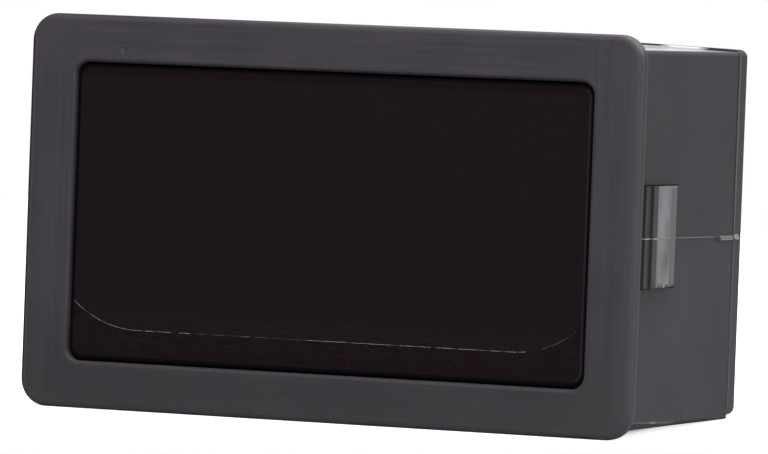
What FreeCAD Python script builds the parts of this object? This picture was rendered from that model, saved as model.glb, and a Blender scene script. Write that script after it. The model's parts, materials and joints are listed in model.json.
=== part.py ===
import FreeCAD, Part
import math
import os

# Digital panel ammeter: a small LED meter that snaps into a rectangular hole in a panel.
# Millimetres. The origin is the centre of the panel hole, in the plane of the panel's front face,
# where the back of the front frame seats. X runs to the right, Y into the panel, Z up.

# Body tube, which passes through the hole
body_width = 46.1
body_height = 27.3
body_depth = 22.4
body_edge_radius = 0.12
top_bow = 0.44
side_wall = 1.3
top_wall = 1.25
cavity_corner_radius = 0.3

# Front frame, the flange that covers the edge of the hole; it overhangs the body more at the top
bezel_side_overhang = 0.95
bezel_top_overhang = 1.05
bezel_bottom_overhang = 0.65
bezel_thickness = 1.2
bezel_corner_radius = 2.0
bezel_front_edge_radius = 0.45
bezel_rear_edge_radius = 0.15
window_ledge_side = 1.45
window_ledge_top = 1.2
opening_corner_radius = 1.0
opening_edge_radius = 0.3

# Parting line of the two side slides of the mould, with the torn flash at its rear end
parting_width = 0.1
parting_height = 0.05
parting_front_z = -0.08
parting_rear_z = -0.21
flash_length = 4.4
flash_point_length = 0.9
flash_rise = 0.04
flash_drop = 0.28
flash_height = 0.1

# Snap clips, one spring tongue in each short side
clip_height = 7.35
clip_inner_setback = 0.1
clip_slot = 0.08
clip_tip_gap = 0.4
clip_tip_y = 2.05
clip_tooth_length = 1.05
clip_crest_length = 0.9
clip_ramp_length = 3.5
clip_lead_length = 1.75
clip_tooth_rise = 0.4
clip_crest_rise = 0.6
clip_ramp_rise = 0.35
clip_root_length = 0.35
clip_root_clearance = 0.05

# Tinted window and the clear film on it
window_recess = 0.35
window_gap = 0.06
window_edge_radius = 0.25
window_flange_overlap = 0.85
window_flange_thickness = 0.8
window_flange_corner_radius = 0.8
window_notch_clearance = 0.1
film_thickness = 0.05
film_corner_radius = 4.6
film_side_run_out = 0.8
film_bottom_margin = 2.35
film_top_margin = 0.9
film_edge_inset = 0.1

# Seven-segment display block
gasket_thickness = 0.5
gasket_border = 1.6
display_margin = 1.5
display_end_trim = 0.25
display_depth = 8.0
digit_count = 3
digit_pitch = 12.7
digit_height = 14.2
digit_width = 8.1
digit_slant = math.radians(10.0)
segment_width = 1.5
segment_gap = 0.22
segment_depth = 1.0
point_radius = 0.8
display_pin_thickness = 0.5
display_pin_pitch = 2.54
display_pin_row_spacing = 15.24
display_pins_per_row = 6
display_pin_length = 3.0

# Circuit boards
board_side_clearance = 0.55
board_top_clearance = 0.4
board_corner_radius = 0.6
display_board_thickness = 1.0
display_board_gap = 0.2
main_board_thickness = 1.2
board_hole_clearance = 0.06
rib_width = 1.4
rib_height = 1.1
rib_x = 14.0

# Row of pins that joins the two boards
link_pin_count = 6
link_pin_pitch = 2.54
link_pin_thickness = 0.64
link_body_width = 2.4
link_pin_overrun = 0.9
link_edge_margin = 1.3
link_x = 0.0

# Chips
lead_thickness = 0.15
lead_width = 0.36
lead_foot_reach = 0.75
lead_shoulder = 0.25
chip_stand_off = 0.1
controller_length = 9.9
controller_width = 3.9
controller_height = 1.5
controller_lead_count = 16
chip_lead_pitch = 1.27
controller_x = -6.0
controller_z = 2.4
amplifier_length = 4.9
amplifier_width = 3.9
amplifier_height = 1.5
amplifier_lead_count = 8
amplifier_x = 8.2
amplifier_z = 5.6
transistor_length = 2.9
transistor_width = 1.3
transistor_height = 1.0
transistor_x = 13.4
transistor_pitch = 3.6
transistor_lead_offset = 0.95
regulator_length = 6.5
regulator_width = 3.5
regulator_height = 1.6
regulator_pitch = 2.3
regulator_tab_length = 3.0
regulator_tab_reach = 1.2
regulator_x = -6.0
regulator_z = -2.6
diode_length = 4.3
diode_width = 2.6
diode_height = 2.1
diode_x = -13.4
diode_z = 4.6
diode_strap_length = 0.5
diode_strap_width = 1.7

# Electrolytic capacitor
capacitor_radius = 2.5
capacitor_board_gap = 0.6
capacitor_base_size = 5.3
capacitor_base_height = 0.6
capacitor_base_corner_radius = 0.7
capacitor_crimp_depth = 0.2
capacitor_crimp_setback = 0.8
capacitor_x = 7.6
capacitor_z = -2.6

# Chip resistors and ceramic capacitors
chip_part_length = 1.6
chip_part_width = 0.8
resistor_height = 0.45
ceramic_height = 0.8
chip_part_pitch = 2.0
segment_resistor_count = 8
segment_resistor_x = -6.0
segment_resistor_z = -5.4
divider_resistor_count = 6
divider_resistor_x = 3.0
divider_resistor_z = 9.6
ceramic_count = 3
controller_ceramic_x = 4.6
controller_ceramic_z = 6.2
regulator_ceramic_x = -12.4
regulator_ceramic_z = 9.6

# Current shunt, a bowed resistance wire across the measuring terminals
shunt_wire_diameter = 1.5
shunt_span = 10.0
shunt_rise = 2.9
shunt_bend_radius = 1.5
shunt_link_spacing = 3.1
shunt_x = 9.6

# Calibration trimmer
trimmer_size = 6.6
trimmer_height = 4.3
trimmer_corner_radius = 0.3
trimmer_well_radius = 2.2
trimmer_well_depth = 1.5
rotor_clearance = 0.05
rotor_thickness = 1.3
rotor_slot_width = 0.6
rotor_slot_depth = 0.6
rotor_slot_margin = 0.4
trimmer_pin_thickness = 0.5
trimmer_pin_spacing = 5.0
trimmer_x = 15.4
trimmer_z = 4.6

# Sockets that face the rear
supply_pitch = 2.5
supply_length = 7.4
supply_width = 5.7
supply_pin_thickness = 0.64
supply_wall = 0.7
supply_x = -14.4
supply_z = -4.6
measuring_pitch = 3.96
measuring_length = 10.6
measuring_width = 7.2
measuring_pin_thickness = 1.1
measuring_wall = 0.9
measuring_x = 0.0
measuring_z = 3.4
socket_floor = 1.6
socket_sink = 0.3
socket_pin_sink = 1.8
pin_tail = 1.0
socket_key_width = 1.2
socket_key_depth = 2.2

# Rear cover
cover_thickness = 2.1
cover_height_allowance = 0.05
cover_offset = 0.2
cover_corner_radius = 0.6
cover_edge_radius = 0.5
cover_groove = 0.1
cover_lip_thickness = 1.0
cover_lip_depth = 1.9
cover_lip_clearance = 0.1
cover_socket_clearance = 0.2
cover_post_radius = 1.0
cover_post_length = 4.9
cover_post_inset = 1.6
cover_hole_radius = 1.7
catch_width = 9.0
catch_length = 0.6
catch_rise = 0.25
catch_setback = 0.9
catch_clearance = 0.1

# Sizes that follow from the ones above; the cavity and all that it holds are centred on the frame
bezel_width = body_width + 2 * bezel_side_overhang
bezel_height = body_height + bezel_top_overhang + bezel_bottom_overhang
body_z = (bezel_bottom_overhang - bezel_top_overhang) / 2
cavity_width = body_width - 2 * side_wall
cavity_height = bezel_height - 2 * (bezel_top_overhang + top_wall)
opening_width = cavity_width - 2 * window_ledge_side
opening_height = cavity_height - 2 * window_ledge_top
clip_thickness = side_wall - clip_inner_setback
display_width = digit_count * digit_pitch - 2 * display_end_trim
display_height = opening_height - 2 * display_margin
board_width = cavity_width - 2 * board_side_clearance
board_height = cavity_height - 2 * board_top_clearance
link_z = link_edge_margin - board_height / 2
shunt_z = link_z + shunt_link_spacing
cover_z = body_z + cover_offset

# Places along Y that the pieces share
bezel_front = -bezel_thickness
window_front = bezel_front + window_recess
window_rear = window_flange_thickness
display_front = window_rear + gasket_thickness
display_rear = display_front + display_depth
display_board_front = display_rear + display_board_gap
display_board_rear = display_board_front + display_board_thickness
cover_front = body_depth
cover_rear = cover_front + cover_thickness
main_board_rear = cover_front - cover_post_length
main_board_front = main_board_rear - main_board_thickness
capacitor_height = main_board_front - display_board_rear - capacitor_board_gap
clip_crest_start = clip_tip_y + clip_tooth_length
clip_ramp_start = clip_crest_start + clip_crest_length
clip_lead_start = clip_ramp_start + clip_ramp_length
clip_lead_end = clip_lead_start + clip_lead_length
clip_axis_y = clip_lead_end + clip_root_length
clip_axis_x = body_width / 2 - clip_thickness / 2
socket_mouth = cover_rear - socket_sink

# Small lengths that only make cuts and joins clean
overlap = 0.2
tolerance = 0.001


def block(x0, x1, y0, y1, z0, z1):
    """A box between two corners, given in any order along each axis."""
    low = FreeCAD.Vector(min(x0, x1), min(y0, y1), min(z0, z1))
    return Part.makeBox(abs(x1 - x0), abs(y1 - y0), abs(z1 - z0), low)


def centred_block(width, height, y0, y1, x=0.0, z=0.0):
    """A box centred on (x, z), from y0 to y1."""
    return block(x - width / 2, x + width / 2, y0, y1, z - height / 2, z + height / 2)


def rounded_plate(width, height, radius, y0, y1, x=0.0, z=0.0):
    """A plate with its four corners rounded, seen from the front."""
    plate = centred_block(width, height, y0, y1, x, z)
    corners = [edge for edge in plate.Edges if edge.BoundBox.YLength > abs(y1 - y0) / 2]
    return plate.makeFillet(radius, corners)


def bowed_plate(width, height, radius, y0, y1, z):
    """A rounded plate whose top edge bows up between its corners, seen from the front."""
    left = -width / 2
    right = width / 2
    low = z - height / 2
    high = z + height / 2
    corners = [FreeCAD.Vector(left, y0, high), FreeCAD.Vector(left, y0, low),
               FreeCAD.Vector(right, y0, low), FreeCAD.Vector(right, y0, high)]
    sides = [Part.makeLine(start, end) for start, end in zip(corners, corners[1:])]
    bow = Part.Arc(corners[3], FreeCAD.Vector(0, y0, high + top_bow), corners[0]).toShape()
    plate = Part.Face(Part.Wire(sides + [bow])).extrude(FreeCAD.Vector(0, y1 - y0, 0))
    edges = [edge for edge in plate.Edges if edge.BoundBox.YLength > abs(y1 - y0) / 2]
    return plate.makeFillet(radius, edges)


def edges_at(shape, y, half_width=None):
    """The edges that lie in the plane at y, inside half_width of the middle where that is given."""
    found = []
    for edge in shape.Edges:
        box = edge.BoundBox
        if abs(box.YMin - y) > tolerance or abs(box.YMax - y) > tolerance:
            continue
        if half_width is not None and max(abs(box.XMin), abs(box.XMax)) > half_width + tolerance:
            continue
        found.append(edge)
    return found


def cylinder_y(radius, y0, y1, x=0.0, z=0.0):
    """A round bar along Y."""
    return Part.makeCylinder(radius, y1 - y0, FreeCAD.Vector(x, y0, z), FreeCAD.Vector(0, 1, 0))


def prism_along_z(points, z0, z1):
    """Extrudes an outline of (x, y) points from z0 to z1."""
    corners = [FreeCAD.Vector(x, y, z0) for x, y in points]
    face = Part.Face(Part.makePolygon(corners + corners[:1]))
    return face.extrude(FreeCAD.Vector(0, 0, z1 - z0))


def prism_along_y(points, y0, y1):
    """Extrudes an outline of (x, z) points from y0 to y1."""
    corners = [FreeCAD.Vector(x, y0, z) for x, z in points]
    face = Part.Face(Part.makePolygon(corners + corners[:1]))
    return face.extrude(FreeCAD.Vector(0, y1 - y0, 0))


def prism_along_x(points, x0, x1):
    """Extrudes an outline of (y, z) points from x0 to x1."""
    corners = [FreeCAD.Vector(x0, y, z) for y, z in points]
    face = Part.Face(Part.makePolygon(corners + corners[:1]))
    return face.extrude(FreeCAD.Vector(x1 - x0, 0, 0))


def mirrored_in_x(shape):
    """The same shape on the other short side."""
    return shape.mirror(FreeCAD.Vector(0, 0, 0), FreeCAD.Vector(1, 0, 0))


def row(count, pitch, centre=0.0):
    """Evenly spaced places along a line."""
    return [centre + (index - (count - 1) / 2) * pitch for index in range(count)]


def display_pin_places():
    """Centres of the display's pins, in two rows."""
    xs = row(display_pins_per_row, display_pin_pitch)
    return [(x, side * display_pin_row_spacing / 2) for side in (-1, 1) for x in xs]


def link_pin_places():
    """Centres of the pins that join the two boards."""
    return [(x, link_z) for x in row(link_pin_count, link_pin_pitch, link_x)]


def supply_pin_places():
    return [(x, supply_z) for x in row(2, supply_pitch, supply_x)]


def measuring_pin_places():
    return [(x, measuring_z) for x in row(2, measuring_pitch, measuring_x)]


def trimmer_pin_places():
    corner = trimmer_pin_spacing / 2
    return [(trimmer_x - corner, trimmer_z - corner), (trimmer_x + corner, trimmer_z - corner),
            (trimmer_x, trimmer_z + corner)]


def shunt_end_places():
    return [(x, shunt_z) for x in (shunt_x - shunt_span / 2, shunt_x + shunt_span / 2)]


def clip_profile(rise):
    """Outline of the right-hand spring tongue, seen from above, with its outer side raised by rise."""
    outer = body_width / 2
    inner = outer - clip_thickness
    tooth = outer + clip_tooth_rise + rise
    crest = outer + clip_crest_rise + rise
    return [(inner, clip_tip_y), (tooth, clip_tip_y), (tooth, clip_crest_start),
            (crest, clip_crest_start), (crest, clip_ramp_start),
            (outer + clip_ramp_rise + rise, clip_lead_start), (outer + rise, clip_lead_end),
            (outer, clip_axis_y), (inner, clip_axis_y)]


def right_snap_clip():
    """Toothed spring tongue that holds the meter in the panel; it bends in about its round root."""
    tongue = prism_along_z(clip_profile(0.0), -clip_height / 2, clip_height / 2)
    seam = prism_along_z(clip_profile(parting_height), parting_front_z - parting_width / 2,
                         parting_front_z + parting_width / 2)
    root_start = FreeCAD.Vector(clip_axis_x, clip_axis_y, -clip_height / 2)
    root = Part.makeCylinder(clip_thickness / 2, clip_height, root_start)
    return tongue.fuse([seam, root]).removeSplitter()


def clip_window():
    """The room that the right-hand tongue needs in the side wall."""
    half = clip_height / 2 + clip_slot
    outside = body_width / 2 + overlap
    inside = cavity_width / 2 - overlap
    slot = block(inside, outside, clip_tip_y - clip_tip_gap, clip_axis_y, -half, half)
    seat_radius = clip_thickness / 2 + clip_root_clearance
    seat = Part.makeCylinder(seat_radius, 2 * half, FreeCAD.Vector(clip_axis_x, clip_axis_y, -half))
    inner_relief = block(inside, clip_axis_x, clip_axis_y, clip_axis_y + seat_radius, -half, half)
    return slot.fuse([seat, inner_relief])


def parting_ridge():
    """Fine raised line near mid height of the right side wall, ending in a torn sliver of flash."""
    face = body_width / 2
    half = parting_width / 2
    line = prism_along_x([(0, parting_front_z - half), (body_depth, parting_rear_z - half),
                          (body_depth, parting_rear_z + half), (0, parting_front_z + half)],
                         face - overlap, face + parting_height)
    start = body_depth - flash_length
    blunt = start + flash_point_length
    top = parting_rear_z + flash_rise
    bottom = parting_rear_z - flash_drop
    sliver = prism_along_x([(start, top), (body_depth, top), (body_depth, bottom), (blunt, bottom)],
                           face - overlap, face + flash_height)
    return line.fuse(sliver)


def catch_recess(side):
    """Groove in the top or bottom wall that the cover's catch snaps into."""
    start = cover_front - catch_setback - catch_length - catch_clearance
    end = cover_front - catch_setback + catch_clearance
    wall_face = side * cavity_height / 2
    depth = catch_rise + catch_clearance
    return block(-catch_width / 2 - catch_clearance, catch_width / 2 + catch_clearance, start, end,
                 wall_face - side * overlap, wall_face + side * depth)


def case():
    """Front frame and body tube, one moulding."""
    flange = rounded_plate(bezel_width, bezel_height, bezel_corner_radius, bezel_front, 0)
    flange = flange.makeFillet(bezel_front_edge_radius, edges_at(flange, bezel_front))
    flange = flange.makeFillet(bezel_rear_edge_radius, edges_at(flange, 0))
    tube = bowed_plate(body_width, body_height, body_edge_radius, bezel_front / 2, body_depth, body_z)
    ridge = parting_ridge()
    shell = flange.fuse([tube, ridge, mirrored_in_x(ridge)])
    cavity = rounded_plate(cavity_width, cavity_height, cavity_corner_radius, 0, body_depth + overlap)
    shell = shell.cut(cavity)
    opening = rounded_plate(opening_width, opening_height, opening_corner_radius,
                            bezel_front - overlap, overlap)
    shell = shell.cut(opening)
    rim = edges_at(shell, bezel_front, opening_width / 2)
    shell = shell.makeFillet(opening_edge_radius, rim)
    for side in (-1, 1):
        for x in (-rib_x, rib_x):
            rib = block(x - rib_width / 2, x + rib_width / 2, -overlap, display_board_front,
                        side * (cavity_height / 2 - rib_height), side * (cavity_height / 2 + overlap))
            shell = shell.fuse(rib)
        shell = shell.cut(catch_recess(side))
    window = clip_window()
    return shell.cut([window, mirrored_in_x(window)]).removeSplitter()


def window():
    """Dark tinted acrylic pane: its raised middle fills the opening, its flange clears the ribs."""
    middle = rounded_plate(opening_width - 2 * window_gap, opening_height - 2 * window_gap,
                           opening_corner_radius - window_gap, window_front, window_rear)
    middle = middle.makeFillet(window_edge_radius, edges_at(middle, window_front))
    flange = rounded_plate(opening_width + 2 * window_flange_overlap,
                           opening_height + 2 * window_flange_overlap,
                           window_flange_corner_radius, 0, window_rear)
    notch_width = rib_width + 2 * window_notch_clearance
    notch_height = 2 * (rib_height + window_notch_clearance)
    notches = [centred_block(notch_width, notch_height, -overlap, window_rear + overlap, x, z)
               for x in (-rib_x, rib_x) for z in (-cavity_height / 2, cavity_height / 2)]
    return middle.fuse(flange).cut(notches).removeSplitter()


def protective_film():
    """Clear film on the pane; it stops short of the pane's lower edge, with large round corners."""
    face_width = opening_width - 2 * (window_gap + window_edge_radius + film_edge_inset)
    low = -opening_height / 2 + film_bottom_margin
    high = opening_height / 2 - film_top_margin
    film = rounded_plate(opening_width + 2 * film_side_run_out, high - low + film_corner_radius,
                         film_corner_radius, window_front - film_thickness, window_front,
                         0, (low + high + film_corner_radius) / 2)
    trim = block(-face_width / 2, face_width / 2, window_front - film_thickness, window_front, low, high)
    return film.common(trim)


def display_gasket():
    """Black foam frame between the pane and the display block."""
    outer = centred_block(display_width, display_height, window_rear, display_front)
    inner = centred_block(display_width - 2 * gasket_border, display_height - 2 * gasket_border,
                          window_rear - overlap, display_front + overlap)
    return outer.cut(inner)


def segment_outlines():
    """Outlines of one digit's seven bars, upright and centred on (0, 0)."""
    half = segment_width / 2
    arm = digit_width / 2 - half
    storey = digit_height / 2 - half
    reach = arm - segment_gap
    bar = [(-reach, 0), (-reach + half, half), (reach - half, half), (reach, 0),
           (reach - half, -half), (-reach + half, -half)]
    climb = storey - segment_gap
    post = [(0, segment_gap), (half, segment_gap + half), (half, climb - half), (0, climb),
            (-half, climb - half), (-half, segment_gap + half)]
    bars = [[(x, z + level) for x, z in bar] for level in (-storey, 0, storey)]
    posts = [[(x + side * arm, z + level) for x, z in post] for side in (-1, 1) for level in (-storey, 0)]
    return bars + posts


def segment_solids():
    """Every lit bar and decimal point, as epoxy plugs in the display's face."""
    solids = []
    lean = math.tan(digit_slant)
    rear = display_front + segment_depth
    for centre in row(digit_count, digit_pitch):
        for outline in segment_outlines():
            slanted = [(centre + x + z * lean, z) for x, z in outline]
            solids.append(prism_along_y(slanted, display_front, rear))
        point_x = centre + digit_width / 2 + point_radius - digit_height / 2 * lean
        point_z = -digit_height / 2 + point_radius
        solids.append(cylinder_y(point_radius, display_front, rear, point_x, point_z))
    return solids


def display_housing():
    """Grey-faced block that carries the three digits."""
    housing = centred_block(display_width, display_height, display_front, display_rear)
    return housing.cut(segment_solids())


def display_pins():
    """Twelve pins from the display block through its board."""
    size = display_pin_thickness
    return [centred_block(size, size, display_rear, display_rear + display_pin_length, x, z)
            for x, z in display_pin_places()]


def drilled_board(y0, y1, places):
    """A circuit board with holes at places, each an (x, z, size) of the pin that passes."""
    board = rounded_plate(board_width, board_height, board_corner_radius, y0, y1)
    holes = [cylinder_y(size / math.sqrt(2) + board_hole_clearance, y0 - overlap, y1 + overlap, x, z)
             for x, z, size in places]
    return board.cut(holes)


def display_board():
    pins = [(x, z, display_pin_thickness) for x, z in display_pin_places()]
    links = [(x, z, link_pin_thickness) for x, z in link_pin_places()]
    return drilled_board(display_board_front, display_board_rear, pins + links)


def main_board():
    links = [(x, z, link_pin_thickness) for x, z in link_pin_places()]
    supply = [(x, z, supply_pin_thickness) for x, z in supply_pin_places()]
    measuring = [(x, z, measuring_pin_thickness) for x, z in measuring_pin_places()]
    trimmer = [(x, z, trimmer_pin_thickness) for x, z in trimmer_pin_places()]
    shunt = [(x, z, shunt_wire_diameter) for x, z in shunt_end_places()]
    places = links + supply + measuring + trimmer + shunt
    return drilled_board(main_board_front, main_board_rear, places)


def board_link_body():
    """Plastic strip that spaces the two boards and holds their pins."""
    length = link_pin_count * link_pin_pitch
    strip = centred_block(length, link_body_width, display_board_rear, main_board_front, link_x, link_z)
    bores = [cylinder_y(link_pin_thickness / math.sqrt(2), display_board_rear - overlap,
                        main_board_front + overlap, x, z) for x, z in link_pin_places()]
    return strip.cut(bores)


def board_link_pins():
    size = link_pin_thickness
    return [centred_block(size, size, display_board_front - link_pin_overrun,
                          main_board_rear + link_pin_overrun, x, z) for x, z in link_pin_places()]


def gull_wing_lead(x, z, board_y, up, out, body_edge, height):
    """One bent chip lead: up is +1 or -1 for the board's rear or front, out is the side in Z."""
    foot = lead_foot_reach
    shoulder = lead_shoulder
    tall = height / 2
    thick = lead_thickness
    profile = [(tall, 0), (tall, shoulder), (thick, shoulder + thick), (thick, foot), (0, foot),
               (0, shoulder), (tall - thick, shoulder - thick), (tall - thick, 0)]
    outline = [(board_y + up * rise, z + out * (body_edge + away)) for rise, away in profile]
    return prism_along_x(outline, x - lead_width / 2, x + lead_width / 2)


def chip_body(x, z, board_y, up, length, width, height):
    return centred_block(length, width, board_y + up * chip_stand_off, board_y + up * height, x, z)


def chip_leads(x, z, board_y, up, width, height, leads, pitch):
    """Leads along both long sides of a chip."""
    return [gull_wing_lead(place, z, board_y, up, side, width / 2, height)
            for side in (-1, 1) for place in row(leads // 2, pitch, x)]


def controller_chip():
    return chip_body(controller_x, controller_z, display_board_rear, 1,
                     controller_length, controller_width, controller_height)


def controller_chip_leads():
    return chip_leads(controller_x, controller_z, display_board_rear, 1,
                      controller_width, controller_height, controller_lead_count, chip_lead_pitch)


def amplifier_chip():
    return chip_body(amplifier_x, amplifier_z, main_board_front, -1,
                     amplifier_length, amplifier_width, amplifier_height)


def amplifier_chip_leads():
    return chip_leads(amplifier_x, amplifier_z, main_board_front, -1,
                      amplifier_width, amplifier_height, amplifier_lead_count, chip_lead_pitch)


def transistor_places():
    return [(transistor_x, z) for z in row(digit_count, transistor_pitch)]


def digit_transistors():
    """One small transistor for each digit."""
    return [chip_body(x, z, display_board_rear, 1, transistor_length, transistor_width, transistor_height)
            for x, z in transistor_places()]


def digit_transistor_leads():
    leads = []
    for x, z in transistor_places():
        edge = transistor_width / 2
        for side, place in ((-1, x - transistor_lead_offset), (-1, x + transistor_lead_offset), (1, x)):
            leads.append(gull_wing_lead(place, z, display_board_rear, 1, side, edge, transistor_height))
    return leads


def voltage_regulator():
    return chip_body(regulator_x, regulator_z, main_board_front, -1,
                     regulator_length, regulator_width, regulator_height)


def voltage_regulator_leads():
    """Three leads on one side and the wide cooling tab on the other."""
    edge = regulator_width / 2
    leads = [gull_wing_lead(x, regulator_z, main_board_front, -1, -1, edge, regulator_height)
             for x in row(3, regulator_pitch, regulator_x)]
    tab_start = regulator_z + edge
    tab = block(regulator_x - regulator_tab_length / 2, regulator_x + regulator_tab_length / 2,
                main_board_front, main_board_front - lead_thickness,
                tab_start, tab_start + regulator_tab_reach)
    return leads + [tab]


def input_diode():
    return chip_body(diode_x, diode_z, main_board_front, -1, diode_length, diode_width, diode_height)


def input_diode_straps():
    """Flat end straps folded under the diode's body."""
    straps = []
    for side in (-1, 1):
        end = diode_x + side * diode_length / 2
        straps.append(block(end, end + side * diode_strap_length, main_board_front,
                            main_board_front - diode_height / 2,
                            diode_z - diode_strap_width / 2, diode_z + diode_strap_width / 2))
    return straps


def capacitor_base():
    """Square plastic foot of the electrolytic capacitor."""
    rear = main_board_front
    return rounded_plate(capacitor_base_size, capacitor_base_size, capacitor_base_corner_radius,
                         rear - capacitor_base_height, rear, capacitor_x, capacitor_z)


def capacitor_can():
    """Aluminium can with the rolled groove near its foot."""
    rear = main_board_front - capacitor_base_height
    front = main_board_front - capacitor_height
    can = cylinder_y(capacitor_radius, front, rear, capacitor_x, capacitor_z)
    can = can.makeFillet(capacitor_crimp_depth, edges_at(can, front))
    ring_y = rear - capacitor_crimp_setback
    groove = Part.makeTorus(capacitor_radius, capacitor_crimp_depth,
                            FreeCAD.Vector(capacitor_x, ring_y, capacitor_z), FreeCAD.Vector(0, 1, 0))
    return can.cut(groove)


def chip_part(x, z, board_y, up, height):
    return centred_block(chip_part_length, chip_part_width, board_y, board_y + up * height, x, z)


def chip_resistors():
    """Segment resistors on the display board and the divider chain on the main board."""
    segment_row = [chip_part(x, segment_resistor_z, display_board_rear, 1, resistor_height)
                   for x in row(segment_resistor_count, chip_part_pitch, segment_resistor_x)]
    divider_row = [chip_part(x, divider_resistor_z, main_board_front, -1, resistor_height)
                   for x in row(divider_resistor_count, chip_part_pitch, divider_resistor_x)]
    return segment_row + divider_row


def ceramic_capacitors():
    """Small decoupling capacitors beside the chips."""
    on_display_board = [chip_part(x, controller_ceramic_z, display_board_rear, 1, ceramic_height)
                        for x in row(ceramic_count, chip_part_pitch, controller_ceramic_x)]
    on_main_board = [chip_part(x, regulator_ceramic_z, main_board_front, -1, ceramic_height)
                     for x in row(ceramic_count, chip_part_pitch, regulator_ceramic_x)]
    return on_display_board + on_main_board


def current_shunt():
    """Bowed resistance wire whose small voltage drop is what the meter measures."""
    radius = shunt_wire_diameter / 2
    bend = shunt_bend_radius
    start_y = main_board_front - radius
    top_y = main_board_rear + shunt_rise
    left, right = shunt_x - shunt_span / 2, shunt_x + shunt_span / 2
    slack = bend * (1 - math.sqrt(0.5))
    places = [(left, start_y), (left, top_y - bend), (left + slack, top_y - slack), (left + bend, top_y),
              (right - bend, top_y), (right - slack, top_y - slack), (right, top_y - bend), (right, start_y)]
    points = [FreeCAD.Vector(x, y, shunt_z) for x, y in places]
    path = Part.Wire([Part.makeLine(points[0], points[1]),
                      Part.Arc(points[1], points[2], points[3]).toShape(),
                      Part.makeLine(points[3], points[4]),
                      Part.Arc(points[4], points[5], points[6]).toShape(),
                      Part.makeLine(points[6], points[7])])
    circle = Part.makeCircle(radius, points[0], FreeCAD.Vector(0, 1, 0))
    return path.makePipeShell([Part.Wire(circle)], True, True)


def trimmer_housing():
    """Square body of the calibration trimmer, with the well that its rotor turns in."""
    rear = main_board_rear + trimmer_height
    body = rounded_plate(trimmer_size, trimmer_size, trimmer_corner_radius, main_board_rear, rear,
                         trimmer_x, trimmer_z)
    well = cylinder_y(trimmer_well_radius, rear - trimmer_well_depth, rear + overlap, trimmer_x, trimmer_z)
    return body.cut(well)


def trimmer_rotor():
    """Slotted disc that a small screwdriver turns through the hole in the cover."""
    floor = main_board_rear + trimmer_height - trimmer_well_depth + rotor_clearance
    radius = trimmer_well_radius - rotor_clearance
    top = floor + rotor_thickness
    disc = cylinder_y(radius, floor, top, trimmer_x, trimmer_z)
    slot = centred_block(2 * (radius - rotor_slot_margin), rotor_slot_width,
                         top - rotor_slot_depth, top + overlap, trimmer_x, trimmer_z)
    return disc.cut(slot)


def trimmer_pins():
    size = trimmer_pin_thickness
    return [centred_block(size, size, main_board_front - pin_tail, main_board_rear, x, z)
            for x, z in trimmer_pin_places()]


def shrouded_socket(x, z, length, width, shroud_wall, pin_places, pin_thickness):
    """Plastic shell of a pin socket that is open to the rear, with a keyway in its lower wall."""
    shell = centred_block(length, width, main_board_rear, socket_mouth, x, z)
    hollow = centred_block(length - 2 * shroud_wall, width - 2 * shroud_wall,
                           main_board_rear + socket_floor, socket_mouth + overlap, x, z)
    keys = [centred_block(socket_key_width, 2 * shroud_wall, socket_mouth - socket_key_depth,
                          socket_mouth + overlap, pin_x, z - width / 2) for pin_x, _ in pin_places]
    bores = [centred_block(pin_thickness, pin_thickness, main_board_rear - overlap,
                           socket_mouth, pin_x, pin_z) for pin_x, pin_z in pin_places]
    return shell.cut([hollow] + keys + bores)


def socket_pins(places, thickness):
    return [centred_block(thickness, thickness, main_board_front - pin_tail,
                          socket_mouth - socket_pin_sink, x, z) for x, z in places]


def supply_socket():
    return shrouded_socket(supply_x, supply_z, supply_length, supply_width, supply_wall,
                           supply_pin_places(), supply_pin_thickness)


def measuring_socket():
    return shrouded_socket(measuring_x, measuring_z, measuring_length, measuring_width, measuring_wall,
                           measuring_pin_places(), measuring_pin_thickness)


def cover_post_places():
    """Where the cover's posts press on the corners of the main board."""
    x = board_width / 2 - cover_post_inset
    z = board_height / 2 - cover_post_inset
    return [(side_x * x, side_z * z) for side_x in (-1, 1) for side_z in (-1, 1)]


def cover_catch(side):
    """Ridge on the lip that snaps into the groove in the case."""
    end = cover_front - catch_setback
    start = end - catch_length
    face = side * (cavity_height / 2 - cover_lip_clearance)
    peak = face + side * (catch_rise + cover_lip_clearance)
    ramp = [(start, face), ((start + end) / 2, peak), (end, peak), (end, face - side * overlap),
            (start, face - side * overlap)]
    return prism_along_x(ramp, -catch_width / 2, catch_width / 2)


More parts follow.
